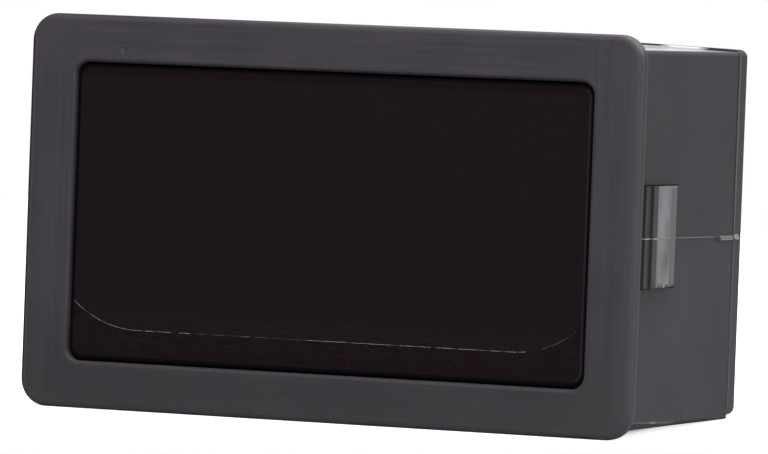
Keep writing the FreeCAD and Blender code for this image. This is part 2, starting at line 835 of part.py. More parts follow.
def rear_cover():
    """Cover that clips into the tube; it sits a little high, so its lower edge is set back."""
    height = body_height - cover_height_allowance
    plate = bowed_plate(body_width, height, cover_corner_radius, cover_front, cover_rear, cover_z)
    plate = plate.makeFillet(cover_edge_radius, edges_at(plate, cover_rear))
    groove = centred_block(body_width + overlap, height + 2 * top_bow + overlap, cover_front - overlap,
                           cover_front + cover_groove, 0, cover_z)
    core = bowed_plate(body_width - 2 * cover_groove, height - 2 * cover_groove,
                       cover_corner_radius - cover_groove, cover_front - 2 * overlap,
                       cover_front + cover_groove + overlap, cover_z)
    plate = plate.cut(groove.cut(core))
    lip_width = cavity_width - 2 * cover_lip_clearance
    lip_height = cavity_height - 2 * cover_lip_clearance
    lip = rounded_plate(lip_width, lip_height, cavity_corner_radius,
                        cover_front - cover_lip_depth, cover_front + overlap)
    hollow = centred_block(lip_width - 2 * cover_lip_thickness, lip_height - 2 * cover_lip_thickness,
                           cover_front - cover_lip_depth - overlap, cover_front)
    posts = [cylinder_y(cover_post_radius, main_board_rear, cover_front + overlap, x, z)
             for x, z in cover_post_places()]
    solid = plate.fuse([lip.cut(hollow), cover_catch(-1), cover_catch(1)] + posts)
    margin = 2 * cover_socket_clearance
    supply_hole = centred_block(supply_length + margin, supply_width + margin,
                                cover_front - overlap, cover_rear + overlap, supply_x, supply_z)
    measuring_hole = centred_block(measuring_length + margin, measuring_width + margin,
                                   cover_front - overlap, cover_rear + overlap, measuring_x, measuring_z)
    trimmer_hole = cylinder_y(cover_hole_radius, cover_front - overlap, cover_rear + overlap,
                              trimmer_x, trimmer_z)
    return solid.cut([supply_hole, measuring_hole, trimmer_hole]).removeSplitter()


def save(name, shape):
    """Writes one sub-part; a list becomes a group of separate solids."""
    if isinstance(shape, list):
        shape = Part.makeCompound(shape)
    shape.exportStep("parts/" + name + ".step")
    print(name, len(shape.Solids), "solids,", round(shape.Volume, 3), "mm3, valid", shape.isValid())


os.makedirs("parts", exist_ok=True)
clip = right_snap_clip()
save("case", case())
save("snap_clip_right", clip)
save("snap_clip_left", mirrored_in_x(clip))
save("window", window())
save("protective_film", protective_film())
save("display_gasket", display_gasket())
save("display_housing", display_housing())
save("display_segments", segment_solids())
save("display_pins", display_pins())
save("display_board", display_board())
save("main_board", main_board())
save("board_link_body", board_link_body())
save("board_link_pins", board_link_pins())
save("controller_chip", controller_chip())
save("controller_chip_leads", controller_chip_leads())
save("amplifier_chip", amplifier_chip())
save("amplifier_chip_leads", amplifier_chip_leads())
save("digit_transistors", digit_transistors())
save("digit_transistor_leads", digit_transistor_leads())
save("voltage_regulator", voltage_regulator())
save("voltage_regulator_leads", voltage_regulator_leads())
save("input_diode", input_diode())
save("input_diode_straps", input_diode_straps())
save("capacitor_base", capacitor_base())
save("capacitor_can", capacitor_can())
save("chip_resistors", chip_resistors())
save("ceramic_capacitors", ceramic_capacitors())
save("current_shunt", current_shunt())
save("trimmer_housing", trimmer_housing())
save("trimmer_rotor", trimmer_rotor())
save("trimmer_pins", trimmer_pins())
save("supply_socket", supply_socket())
save("supply_pins", socket_pins(supply_pin_places(), supply_pin_thickness))
save("measuring_socket", measuring_socket())
save("measuring_pins", socket_pins(measuring_pin_places(), measuring_pin_thickness))
save("rear_cover", rear_cover())
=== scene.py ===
# %% [markdown]
# # A small panel ammeter, dressed for a studio photograph
# The solid model of the meter is already built and packed, and this script loads it as a fixed frame. What is
# left is what a photographer and a product finisher care about: the viewpoint, the light, and how each plastic,
# metal and film looks. Every cell does one step and prints what it made, so it can be read like a notebook.

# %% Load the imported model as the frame
import bpy
import bmesh
import json
import math
from mathutils import Matrix, Vector


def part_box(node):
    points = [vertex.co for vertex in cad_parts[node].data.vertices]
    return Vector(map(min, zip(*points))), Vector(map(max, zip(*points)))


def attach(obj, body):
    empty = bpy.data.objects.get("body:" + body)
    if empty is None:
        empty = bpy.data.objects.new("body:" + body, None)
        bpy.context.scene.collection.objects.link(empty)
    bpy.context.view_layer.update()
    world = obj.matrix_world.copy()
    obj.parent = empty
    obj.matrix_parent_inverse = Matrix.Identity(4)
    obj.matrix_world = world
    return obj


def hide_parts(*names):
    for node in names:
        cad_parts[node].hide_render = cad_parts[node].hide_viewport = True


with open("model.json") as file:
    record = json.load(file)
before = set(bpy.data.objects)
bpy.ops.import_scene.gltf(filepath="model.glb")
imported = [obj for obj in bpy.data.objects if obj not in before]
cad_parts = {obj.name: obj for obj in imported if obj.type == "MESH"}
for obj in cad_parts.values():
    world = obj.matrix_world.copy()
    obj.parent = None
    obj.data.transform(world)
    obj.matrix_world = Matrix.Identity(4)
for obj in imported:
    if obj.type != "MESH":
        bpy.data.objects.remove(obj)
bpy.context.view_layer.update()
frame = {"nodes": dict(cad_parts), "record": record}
nodes = frame["nodes"]
MM = 0.001

# %% [markdown]
# ## Small helpers
# Colours are written as the hex values that a painter would pick from a screen, and one function turns them into
# the linear numbers that Blender computes with. A second function adds one shader node with its settings and
# links, so that a material reads as a short list of steps. Nodes could be joined by hand in the editor too, but
# a list of steps can be read, changed and repeated.

# %% Colour and node helpers
def linear(hex_colour):
    """A screen colour such as '#454246' as a linear RGBA colour."""
    values = [int(hex_colour[i:i + 2], 16) / 255 for i in (1, 3, 5)]
    return [v / 12.92 if v <= 0.04045 else ((v + 0.055) / 1.055) ** 2.4 for v in values] + [1.0]


def add(tree, kind, inputs=None, **settings):
    """Adds one node; inputs gives each socket a value, a hex colour, an output, or a node's first output."""
    made = tree.nodes.new(kind)
    for name, value in settings.items():
        setattr(made, name, value)
    for name, value in (inputs or {}).items():
        if isinstance(value, bpy.types.Node):
            value = next(output for output in value.outputs if output.enabled)
        if isinstance(value, bpy.types.NodeSocket):
            tree.links.new(value, made.inputs[name])
        elif isinstance(value, str):
            made.inputs[name].default_value = linear(value)
        else:
            made.inputs[name].default_value = value
    return made


def new_material(name):
    """An empty material and its node tree."""
    material = bpy.data.materials.new(name)
    material.use_nodes = True
    material.node_tree.nodes.clear()
    return material, material.node_tree


print("charcoal in linear light:", [round(v, 4) for v in linear("#454246")])

# %% [markdown]
# ## The camera
# The photograph was solved for its viewpoint: about half a metre away, turned 22.5 degrees to the meter's right,
# 1.8 degrees above it, and rolled two degrees. A long lens gives the same gentle perspective. The small aim
# angles turn the camera off the middle of the frame, because the picture was cropped. A lens shift would do that
# too, but turning the camera keeps the perspective that was solved.

# %% Camera at the photograph's viewpoint
IMAGE_WIDTH = 768
FOCAL_PIXELS = 6996.0
CAMERA_DISTANCE = 507.3 * MM
CAMERA_YAW = math.radians(22.47)
CAMERA_ELEVATION = math.radians(1.80)
CAMERA_ROLL = math.radians(2.15)
AIM_RIGHT = math.radians(0.478)
AIM_UP = math.radians(-0.011)
SENSOR_WIDTH = 36.0
BEZEL_FRONT_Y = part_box("case")[0].y

facing = Vector((-math.sin(CAMERA_YAW) * math.cos(CAMERA_ELEVATION),
                 math.cos(CAMERA_YAW) * math.cos(CAMERA_ELEVATION),
                 -math.sin(CAMERA_ELEVATION)))
right = Vector((math.cos(CAMERA_YAW), math.sin(CAMERA_YAW), 0))
up = right.cross(facing)
eye = Vector((0, BEZEL_FRONT_Y, 0)) - CAMERA_DISTANCE * facing
forward = (facing + AIM_RIGHT * right + AIM_UP * up).normalized()
level = forward.cross(Vector((0, 0, 1))).normalized()
upright = level.cross(forward)
image_right = level * math.cos(CAMERA_ROLL) + upright * math.sin(CAMERA_ROLL)
image_up = upright * math.cos(CAMERA_ROLL) - level * math.sin(CAMERA_ROLL)

camera = bpy.data.objects.new("camera", bpy.data.cameras.new("camera"))
camera.data.sensor_fit = "HORIZONTAL"
camera.data.sensor_width = SENSOR_WIDTH
camera.data.lens = SENSOR_WIDTH * FOCAL_PIXELS / IMAGE_WIDTH
camera.data.clip_start = 0.01
camera.data.clip_end = 20.0
rotation = Matrix((image_right, image_up, -forward)).transposed()
camera.matrix_world = Matrix.Translation(eye) @ rotation.to_4x4()
bpy.context.scene.collection.objects.link(camera)
bpy.context.scene.camera = camera
bpy.context.scene.view_settings.view_transform = "Standard"
print("camera stands at", [round(v, 3) for v in eye], "lens", round(camera.data.lens, 1), "mm")

# %% [markdown]
# ## The floor
# The meter stands on a white sweep: it touches it along the lower edge of its frame and at the lower rear edge
# of its body, so the floor is a plane through those two edges. To the camera it is white paper with a little
# extra white beside the meter, and none under it, so the page stays white and the contact shadow stays dark. As a
# reflector it is a greyer card, so it doesn't flood the side wall from below. The sheet is small, and ends just
# in front of the meter, because the window would mirror a longer one.

# %% White paper floor
FLOOR_SIDE = 0.30
FLOOR_FRONT = 0.004
FLOOR_REAR = 0.25
FLOOR_EXTRA_WHITE = 0.8
UNDER_SIDE = 0.0209
UNDER_REAR = 0.023
UNDER_SOFT = 0.0008
FLOOR_BOUNCE = 0.55
BODY_LOW_Z = -13.85 * MM
case_low, case_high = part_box("case")
lean = math.atan2(BODY_LOW_Z - case_low.z, case_high.y)

white_paper, tree = new_material("white_paper")
path = add(tree, "ShaderNodeLightPath")
shade = add(tree, "ShaderNodeMapRange", {"Value": path.outputs["Is Camera Ray"], "To Min": FLOOR_BOUNCE})
paper = add(tree, "ShaderNodeBsdfDiffuse", {"Color": shade})
place = add(tree, "ShaderNodeSeparateXYZ", {0: add(tree, "ShaderNodeTexCoord").outputs["Object"]})
across = add(tree, "ShaderNodeMath", {0: place.outputs["X"]}, operation="ABSOLUTE")
beside = add(tree, "ShaderNodeMapRange", {"Value": across, "From Min": UNDER_SIDE - UNDER_SOFT,
                                          "From Max": UNDER_SIDE + UNDER_SOFT, "To Max": FLOOR_EXTRA_WHITE})
behind = add(tree, "ShaderNodeMapRange", {"Value": place.outputs["Y"], "From Min": UNDER_REAR - UNDER_SOFT,
                                          "From Max": UNDER_REAR + UNDER_SOFT, "To Max": FLOOR_EXTRA_WHITE})
before = add(tree, "ShaderNodeMapRange", {"Value": place.outputs["Y"], "From Min": -UNDER_SOFT, "From Max": 0.0,
                                          "To Min": FLOOR_EXTRA_WHITE, "To Max": 0.0})
clear = add(tree, "ShaderNodeMath", {0: beside, 1: behind}, operation="MAXIMUM")
clear = add(tree, "ShaderNodeMath", {0: clear, 1: before}, operation="MAXIMUM")
glow = add(tree, "ShaderNodeMath", {0: path.outputs["Is Camera Ray"], 1: clear}, operation="MULTIPLY")
glow = add(tree, "ShaderNodeEmission", {"Color": "#ffffff", "Strength": glow})
both = add(tree, "ShaderNodeAddShader", {0: paper, 1: glow})
add(tree, "ShaderNodeOutputMaterial", {"Surface": both})

floor_mesh = bpy.data.meshes.new("floor")
corners = [(-FLOOR_SIDE, -FLOOR_FRONT, 0), (FLOOR_SIDE, -FLOOR_FRONT, 0), (FLOOR_SIDE, FLOOR_REAR, 0),
           (-FLOOR_SIDE, FLOOR_REAR, 0)]
floor_mesh.from_pydata(corners, [], [(0, 1, 2, 3)])
floor_mesh.materials.append(white_paper)
floor = bpy.data.objects.new("floor", floor_mesh)
floor.location = (0, 0, case_low.z)
floor.rotation_euler = (lean, 0, 0)
bpy.context.scene.collection.objects.link(floor)
print("floor leans back by", round(math.degrees(lean), 2), "degrees")

# %% [markdown]
# ## The room
# The room is a white tent that is open towards the photographer's left. The window of the meter mirrors that
# dark side, which is why it looks black, while the top of the body mirrors the white wall behind it. The world
# holds this: white where the camera looks at it, a soft bright-to-dim gradient where the object mirrors it, and
# an even grey, a little stronger from above, that fills the shadows. Walls could be built as well, but a world
# worked out from the direction has no edges that need hiding and takes no time to trace.

# %% World: white for the camera, a tent open to the front left for reflections
AMBIENT_LOW = 0.18
AMBIENT_HIGH = 0.50
FILL_SIDE = Vector((0.15, -0.45, 0.88)).normalized()
MIRROR_DIM = 0.12
MIRROR_BRIGHT = 1.0
WHITE_WALL = Vector((-0.38, 0.92, 0.10)).normalized()
WALL_EDGE = 0.93
WALL_FULL = 0.985

world = bpy.data.worlds.new("white_tent")
bpy.context.scene.world = world
world.use_nodes = True
tree = world.node_tree
tree.nodes.clear()
direction = add(tree, "ShaderNodeTexCoord").outputs["Generated"]
to_fill = add(tree, "ShaderNodeVectorMath", {0: direction, 1: FILL_SIDE},
              operation="DOT_PRODUCT").outputs["Value"]
ambient = add(tree, "ShaderNodeMapRange", {"Value": to_fill, "From Min": -1.0, "From Max": 1.0,
                                           "To Min": AMBIENT_LOW, "To Max": AMBIENT_HIGH})
to_wall = add(tree, "ShaderNodeVectorMath", {0: direction, 1: WHITE_WALL},
              operation="DOT_PRODUCT").outputs["Value"]
mirrored = add(tree, "ShaderNodeMapRange", {"Value": to_wall, "From Min": WALL_EDGE, "From Max": WALL_FULL,
                                            "To Min": MIRROR_DIM, "To Max": MIRROR_BRIGHT},
               interpolation_type="SMOOTHSTEP")
path = add(tree, "ShaderNodeLightPath")
strength = add(tree, "ShaderNodeMix", {"Factor": path.outputs["Is Glossy Ray"], "A": ambient, "B": mirrored},
               data_type="FLOAT")
seen = add(tree, "ShaderNodeMath", {0: path.outputs["Is Camera Ray"], 1: path.outputs["Is Transmission Ray"]},
           operation="ADD", use_clamp=True)
strength = add(tree, "ShaderNodeMix", {"Factor": seen, "A": strength, "B": 1.0}, data_type="FLOAT")
sky = add(tree, "ShaderNodeBackground", {"Color": "#ffffff", "Strength": strength})
add(tree, "ShaderNodeOutputWorld", {"Surface": sky})
print("world ambient", AMBIENT_LOW, "to", AMBIENT_HIGH, "mirror", MIRROR_DIM, "to", MIRROR_BRIGHT)

# %% [markdown]
# ## The lamps
# Three soft boxes light the meter: one close above the front, so the frame's upper bar is a little lighter than
# its lower bar, one high behind, which draws a light line along the upper edges, and a broad one at the right,
# which lights the side wall and the worn clip but not the front. Small lamps would set hard sparks on the grain,
# so all three are broad.

# %% Soft boxes
def soft_box(name, place, size, level):
    """A square area lamp aimed at the meter; level 1 renders a facing white surface as white."""
    lamp = bpy.data.lights.new(name, "AREA")
    lamp.shape = "SQUARE"
    lamp.size = size
    lamp.energy = level * math.pi ** 2 * Vector(place).length_squared
    box = bpy.data.objects.new(name, lamp)
    box.location = place
    box.rotation_euler = Vector(place).to_track_quat("Z", "Y").to_euler()
    bpy.context.scene.collection.objects.link(box)
    print(name, "gives", round(lamp.energy, 3), "W")


soft_box("key_box", (0.08, -0.22, 0.27), 0.24, 0.90)
soft_box("rear_box", (0.10, 0.50, 0.50), 0.40, 0.10)
soft_box("side_box", (0.50, 0.12, 0.16), 0.30, 0.27)

# %% [markdown]
# ## Masks and paint
# Every skin below is made the same way: masks say where something happened to the surface, or where light and
# shade are painted, and paint says how it looks there. An image could hold the marks too, but a mask worked out
# from real places stays sharp from near and far. A band is a mask between two places along a line, written as
# three numbers in millimetres: where it starts, where it ends, and how soft its ends are. Uneven patches come from
# noise, which hovers round one half, so two edges say how much of it counts as none and as all. FAR_MM stands for
# a place beyond the meter.

# %% Bands, patches, paint and the shader that ends a material
FAR_MM = 99.0


def band(tree, value, start_mm, end_mm, soft_mm):
    """1 where a coordinate lies between two places, with soft ends."""
    rise = add(tree, "ShaderNodeMapRange", {"Value": value, "From Min": (start_mm - soft_mm) * MM,
                                            "From Max": (start_mm + soft_mm) * MM})
    fall = add(tree, "ShaderNodeMapRange", {"Value": value, "From Min": (end_mm - soft_mm) * MM,
                                            "From Max": (end_mm + soft_mm) * MM, "To Min": 1.0, "To Max": 0.0})
    return add(tree, "ShaderNodeMath", {0: rise, 1: fall}, operation="MULTIPLY")


def uneven(tree, place, patch_mm, edges, levels=(0.0, 1.0), detail=2.0, distortion=0.0):
    """Patches that wander between two levels; one size serves all axes, and an endless one leaves its axis out."""
    sizes = patch_mm if isinstance(patch_mm, tuple) else (patch_mm,) * 3
    steps = add(tree, "ShaderNodeVectorMath", {0: place, 1: [1 / (size * MM) for size in sizes]},
                operation="MULTIPLY")
    noise = add(tree, "ShaderNodeTexNoise", {"Vector": steps, "Scale": 1.0, "Detail": detail,
                                             "Distortion": distortion})
    return add(tree, "ShaderNodeMapRange", {"Value": noise, "From Min": edges[0], "From Max": edges[1],
                                            "To Min": levels[0], "To Max": levels[1]})


def overlap(tree, *masks):
    """Where all the masks meet; a plain number thins them."""
    meeting = masks[0]
    for mask in masks[1:]:
        meeting = add(tree, "ShaderNodeMath", {0: meeting, 1: mask}, operation="MULTIPLY")
    return meeting


def paint(tree, colour, other, *masks):
    """Lays another colour over one where all the masks meet."""
    return add(tree, "ShaderNodeMix", {"Factor": overlap(tree, *masks), "A": colour, "B": other}, data_type="RGBA")


def turned_to(tree, axis):
    """How squarely a surface looks along an axis, from -1 to 1."""
    normal = add(tree, "ShaderNodeTexCoord").outputs["Normal"]
    return add(tree, "ShaderNodeSeparateXYZ", {0: normal}).outputs[axis]


def close(tree, colour, rough, relief=None, **settings):
    """Ends a material with its shader."""
    if relief is not None:
        settings["Normal"] = relief
    shader = add(tree, "ShaderNodeBsdfPrincipled", {"Base Color": colour, "Roughness": rough, **settings})
    add(tree, "ShaderNodeOutputMaterial", {"Surface": shader})


def dress(name, material):
    """Gives a CAD node its finish."""
    nodes[name].data.materials.clear()
    nodes[name].data.materials.append(material)


print("masks reach", FAR_MM, "mm")

# %% [markdown]
# ## Charcoal ABS
# The case is injection-moulded ABS with a fine spark-eroded skin. Up close such a skin is a field of tiny pits
# that spreads the highlight into a satin sheen, and the melt leaves faint streaks along the bars of the frame.
# The grain is 0.12 mm across, drawn as bump and roughness, because real pits would need millions of faces. The
# streaks and a very soft mottle change the colour by a few percent only.

# %% Charcoal ABS, moulded
GRAIN_MM = 0.12
GRAIN_RELIEF = 0.6
GRAIN_DEPTH_MM = 0.01
ROUGHNESS_SPREAD = 0.05
STREAK_LENGTH_MM = 9.0
STREAK_WIDTH_MM = 0.16
MOTTLE_MM = 6.0
MOTTLE_SHARE = 0.45
SIDE_BAR_X_MM = (20.0, FAR_MM, 0.5)
ABS_IOR = 1.5


def moulded_abs(tree, dark, light, roughness):
    """Spark-eroded charcoal plastic: its places, and its colour, roughness and relief for a variant to build on."""
    place = add(tree, "ShaderNodeTexCoord").outputs["Object"]
    axes = add(tree, "ShaderNodeSeparateXYZ", {0: place}).outputs
    across = add(tree, "ShaderNodeMath", {0: axes["X"]}, operation="ABSOLUTE")
    fine, long = 1 / (STREAK_WIDTH_MM * MM), 1 / (STREAK_LENGTH_MM * MM)
    streaks = []
    for steps in ((long, fine, fine), (fine, fine, long)):
        along = add(tree, "ShaderNodeVectorMath", {0: place, 1: steps}, operation="MULTIPLY")
        streaks.append(add(tree, "ShaderNodeTexNoise", {"Vector": along, "Scale": 1.0, "Detail": 3.0}))
    side_bar = band(tree, across, *SIDE_BAR_X_MM)
    streak = add(tree, "ShaderNodeMix", {"Factor": side_bar, "A": streaks[0], "B": streaks[1]}, data_type="FLOAT")
    mottle = add(tree, "ShaderNodeTexNoise", {"Vector": place, "Scale": 1 / (MOTTLE_MM * MM), "Detail": 2.0})
    tone = add(tree, "ShaderNodeMix", {"Factor": MOTTLE_SHARE, "A": streak, "B": mottle}, data_type="FLOAT")
    tone = add(tree, "ShaderNodeMapRange", {"Value": tone, "From Min": 0.32, "From Max": 0.68})
    grain = add(tree, "ShaderNodeTexNoise", {"Vector": place, "Scale": 1 / (GRAIN_MM * MM), "Detail": 2.0})
    rough = add(tree, "ShaderNodeMapRange", {"Value": grain, "From Min": 0.3, "From Max": 0.7,
                                             "To Min": roughness - ROUGHNESS_SPREAD,
                                             "To Max": roughness + ROUGHNESS_SPREAD})
    relief = add(tree, "ShaderNodeBump", {"Height": grain, "Strength": GRAIN_RELIEF,
                                          "Distance": GRAIN_DEPTH_MM * MM})
    return (place, axes["X"], axes["Y"], axes["Z"], across), paint(tree, dark, light, tone), rough, relief


print("grain is", GRAIN_MM, "mm across")

# %% [markdown]
# ## The case: polished walls
# The walls that the mould slides past, top and bottom, come out polished, so they mirror the room at a flat
# angle. They could be a material of their own, but one mask made from the surface direction keeps the case in one
# skin. Seen steeply, even a polished wall of this plastic looks satin, because its last unevenness scatters more
# light then, so its roughness follows the angle of sight. Sliding out of the mould also leaves faint drag lines
# from front to rear, which show only in that satin.

# %% Charcoal ABS of the case
FRAME_Y_MM = (-FAR_MM, 0.06, 0.02)
BODY_Y_MM = (0.3, FAR_MM, 0.05)
FLAT_WALL = (0.985, 0.997)
POLISHED_ROUGHNESS = 0.07
REAR_ROUGHNESS = 0.20
WORN_START_MM = 13
WORN_END_MM = 20
STEEP_SIGHT = 0.70
FLAT_SIGHT = 0.95
STEEP_ROUGHNESS = 0.42
STEEP_SPREAD = 0.05
POLISHED_RELIEF = 0.02
DRAG_MM = (0.35, 24.0, math.inf)

charcoal_abs, tree = new_material("charcoal_abs")
places, colour, rough, relief = moulded_abs(tree, "#37333a", "#454047", 0.64)
place, at_x, at_y, at_z, across = places
on_frame = band(tree, at_y, *FRAME_Y_MM)
on_body = band(tree, at_y, *BODY_Y_MM)
flat = add(tree, "ShaderNodeMath", {0: turned_to(tree, "Z")}, operation="ABSOLUTE")
flat = add(tree, "ShaderNodeMapRange", {"Value": flat, "From Min": FLAT_WALL[0], "From Max": FLAT_WALL[1]})
polished = overlap(tree, flat, on_body)
sight = add(tree, "ShaderNodeLayerWeight", {"Blend": 0.5}).outputs["Facing"]
worn_polish = add(tree, "ShaderNodeMapRange", {"Value": at_y, "From Min": WORN_START_MM * MM,
                                               "From Max": WORN_END_MM * MM, "To Min": POLISHED_ROUGHNESS,
                                               "To Max": REAR_ROUGHNESS})
drag = uneven(tree, place, DRAG_MM, (0.35, 0.65), (STEEP_ROUGHNESS - STEEP_SPREAD, STEEP_ROUGHNESS + STEEP_SPREAD),
              3.0)
satin = add(tree, "ShaderNodeMapRange", {"Value": sight, "From Min": STEEP_SIGHT, "From Max": FLAT_SIGHT,
                                         "To Min": drag, "To Max": worn_polish})
rough = add(tree, "ShaderNodeMix", {"Factor": polished, "A": rough, "B": satin}, data_type="FLOAT")
smooth = add(tree, "ShaderNodeMapRange", {"Value": polished, "To Min": GRAIN_RELIEF, "To Max": POLISHED_RELIEF})
tree.links.new(smooth.outputs[0], relief.inputs["Strength"])
print("polished walls have roughness", POLISHED_ROUGHNESS)

# %% [markdown]
# ## The parting line and its flash
# The halves of the mould meet at mid height and leave a raised line round the body, which handling rubs lighter.
# Near the rear a sliver of flash was torn off, and torn ABS turns pale, with a small painted shadow in front of its
# torn point. The solid has the raised line, so only its colour is left to do. The line slopes a little, so its
# height is worked out from the depth at each point.

# %% Rubbed parting line and torn flash
PARTING_FRONT_MM = -0.08
PARTING_REAR_MM = -0.21
LINE_ABOVE_MM = 0.035
LINE_BELOW_MM = 0.05
LINE_SOFT_MM = 0.02
BODY_DEPTH_MM = 22.4
BODY_HALF_WIDTH_MM = 23.05
FLASH_START_MM = 18.6
FLASH_BELOW_MM = 0.26
FLASH_HEART_MM = (-0.19, -0.05, 0.03)
FLASH_SLANT = 1.7
FLASH_POINT_MM = (19.0, 19.25)

line_z = add(tree, "ShaderNodeMapRange", {"Value": at_y, "From Max": BODY_DEPTH_MM * MM,
                                          "To Min": PARTING_FRONT_MM * MM, "To Max": PARTING_REAR_MM * MM})
above_line = add(tree, "ShaderNodeMath", {0: at_z, 1: line_z}, operation="SUBTRACT")
below = add(tree, "ShaderNodeMapRange", {"Value": at_y, "From Min": FLASH_START_MM * MM,
                                         "From Max": (FLASH_START_MM + 0.3) * MM, "To Min": LINE_BELOW_MM * MM,
                                         "To Max": FLASH_BELOW_MM * MM})
above_flash = add(tree, "ShaderNodeMath", {0: above_line, 1: below}, operation="ADD")
slant = add(tree, "ShaderNodeMath", {0: above_line, 1: FLASH_SLANT}, operation="MULTIPLY")
slant = add(tree, "ShaderNodeMath", {0: at_y, 1: slant}, operation="ADD")
point = add(tree, "ShaderNodeMapRange", {"Value": slant, "From Min": FLASH_POINT_MM[0] * MM,
                                         "From Max": FLASH_POINT_MM[1] * MM})
flash_and_shadow_colour = paint(tree, "#989598", "#706d71", band(tree, above_line, *FLASH_HEART_MM))
# Painted shadow in front of the flash's torn point.
flash_and_shadow_colour = paint(tree, "#262427", flash_and_shadow_colour, point)
line_colour = paint(tree, "#777478", flash_and_shadow_colour, band(tree, at_y, FLASH_START_MM - 0.2, FAR_MM, 0.1))
colour = paint(tree, colour, line_colour, on_body, band(tree, across, BODY_HALF_WIDTH_MM - 0.03, FAR_MM, 0.01),
               band(tree, above_line, -FAR_MM, LINE_ABOVE_MM, LINE_SOFT_MM),
               band(tree, above_flash, 0.0, FAR_MM, LINE_SOFT_MM))
print("parting line slopes from", PARTING_FRONT_MM, "to", PARTING_REAR_MM, "mm")

# %% [markdown]
# ## The frame's bars and edges
# The frame's face is painted a little darker towards its foot, as shade, and lighter towards its right end, as
# light. Its rounded edges carry painted light and shade: a painted highlight runs along the upper rim and grows at
# the upper right corner, the outer right side has a painted dark strip and then painted light up to a bright line
# at its rear corner, the left edge has a painted dark line of shade beside a painted highlight, and the lower edge
# has a ragged painted line of shade. Three small marks lie on the face. An edge mask could be found from the
# curvature, but only some of these edges carry such lines, so each is given its own place.

# %% Painted shade, painted highlights and marks of the frame
FOOT_Z_MM = (-FAR_MM, -9.75, 3.25)
FOOT_SHADE = 0.45
RIGHT_X_MM = (23.1, FAR_MM, 0.8)
RIGHT_PAINTED_LIGHT = 0.42
ARC_CENTRE_MM = (22.0, 12.5)
UPPER_Z_MM = (13.3, FAR_MM, 0.4)
TOWARDS_RIGHT_X_MM = (-7.0, FAR_MM, 9.0)
TOP_RIM_HIGHLIGHT_MM = (1.87, FAR_MM, 0.07)
CORNER_X_MM = (22.0, FAR_MM, 0.6)
CORNER_HIGHLIGHT_MM = (1.90, FAR_MM, 0.08)
LOW_EDGE_SHADE_Z_MM = (-FAR_MM, -14.4, 0.03)
LOW_EDGE_RAGGED_MM = 1.6667
OUTER_SIDE_X_MM = (23.82, FAR_MM, 0.03)
SIDE_LIGHT_AND_SHADE_Y_MM = [(-0.76, -0.50, "#3c393e"), (-0.50, -0.12, "#4e4a50"), (-0.12, 0.06, "#5c595e")]
LEFT_SHADE_AND_HIGHLIGHT_X_MM = [(-FAR_MM, -23.73, "#151316"), (-23.71, -23.55, "#46434a")]
MARKS_MM = [(-16.6, 11.9, 0.24, "#4b484d"), (-16.35, 12.0, 0.16, "#302e32"), (-20.28, -6.8, 0.09, "#b4b1b5")]

# Painted shade darkens the frame towards its foot, and painted light brightens it towards its right end.
colour = paint(tree, colour, "#2a272b", on_frame, band(tree, at_z, *FOOT_Z_MM), FOOT_SHADE)
colour = paint(tree, colour, "#4e4b50", on_frame, band(tree, at_x, *RIGHT_X_MM), RIGHT_PAINTED_LIGHT)
# Painted highlight along the upper rim, stronger towards the right and at the upper right corner.
past = add(tree, "ShaderNodeVectorMath", {0: place, 1: (ARC_CENTRE_MM[0] * MM, 1.0, ARC_CENTRE_MM[1] * MM)},
           operation="SUBTRACT")
past = add(tree, "ShaderNodeVectorMath", {0: past, 1: (0, 0, 0)}, operation="MAXIMUM")
to_rim = add(tree, "ShaderNodeVectorMath", {0: past}, operation="LENGTH").outputs["Value"]
upper = overlap(tree, on_frame, band(tree, at_z, *UPPER_Z_MM))
colour = paint(tree, colour, "#676469", upper, band(tree, at_x, *TOWARDS_RIGHT_X_MM),
               band(tree, to_rim, *TOP_RIM_HIGHLIGHT_MM))
colour = paint(tree, colour, "#6f6c71", upper, band(tree, at_x, *CORNER_X_MM), band(tree, to_rim, *CORNER_HIGHLIGHT_MM))
# A ragged dark line of painted shade along the frame's lower edge.
ragged = uneven(tree, place, LOW_EDGE_RAGGED_MM, (0.0, 1.0), (-0.2 * MM, 0.2 * MM), 1.0)
ragged = add(tree, "ShaderNodeMath", {0: at_z, 1: ragged}, operation="ADD")
colour = paint(tree, colour, "#1c1a1d", on_frame, band(tree, ragged, *LOW_EDGE_SHADE_Z_MM))
# Painted shade and painted highlights on the frame's outer right side: a dark strip, then lighter, then a bright
# line at its rear corner.
outer_side = band(tree, at_x, *OUTER_SIDE_X_MM)
for start, end, shade in SIDE_LIGHT_AND_SHADE_Y_MM:
    colour = paint(tree, colour, shade, outer_side, band(tree, at_y, start, end, 0.04))
# Painted shade as a dark line at the frame's left edge, with a painted highlight just inside it.
for start, end, shade in LEFT_SHADE_AND_HIGHLIGHT_X_MM:
    colour = paint(tree, colour, shade, on_frame, band(tree, at_x, start, end, 0.03))
for x_mm, z_mm, radius_mm, shade in MARKS_MM:
    offset = add(tree, "ShaderNodeVectorMath", {0: place, 1: (x_mm * MM, BEZEL_FRONT_Y, z_mm * MM)},
                 operation="DISTANCE")
    near = add(tree, "ShaderNodeMapRange", {"Value": offset.outputs["Value"], "From Min": radius_mm * MM * 0.5,
                                            "From Max": radius_mm * MM, "To Min": 0.9, "To Max": 0.0})
    colour = paint(tree, colour, shade, near)
print("frame has", len(MARKS_MM), "small marks")

# %% [markdown]
# ## The body's edges
# The side walls are painted a little darker above the middle, as shade. Their upper edge has a painted highlight.
# Low down a painted highlight line, broken by nicks, runs back from the frame, with painted shade below it and under
# the body's lower edge towards the rear, and painted shade darkens the gap where the body ends at the cover. Lines
# this thin could be modelled as steps, but light alone wouldn't bring them out, so each is a band of colour at its
# own place.

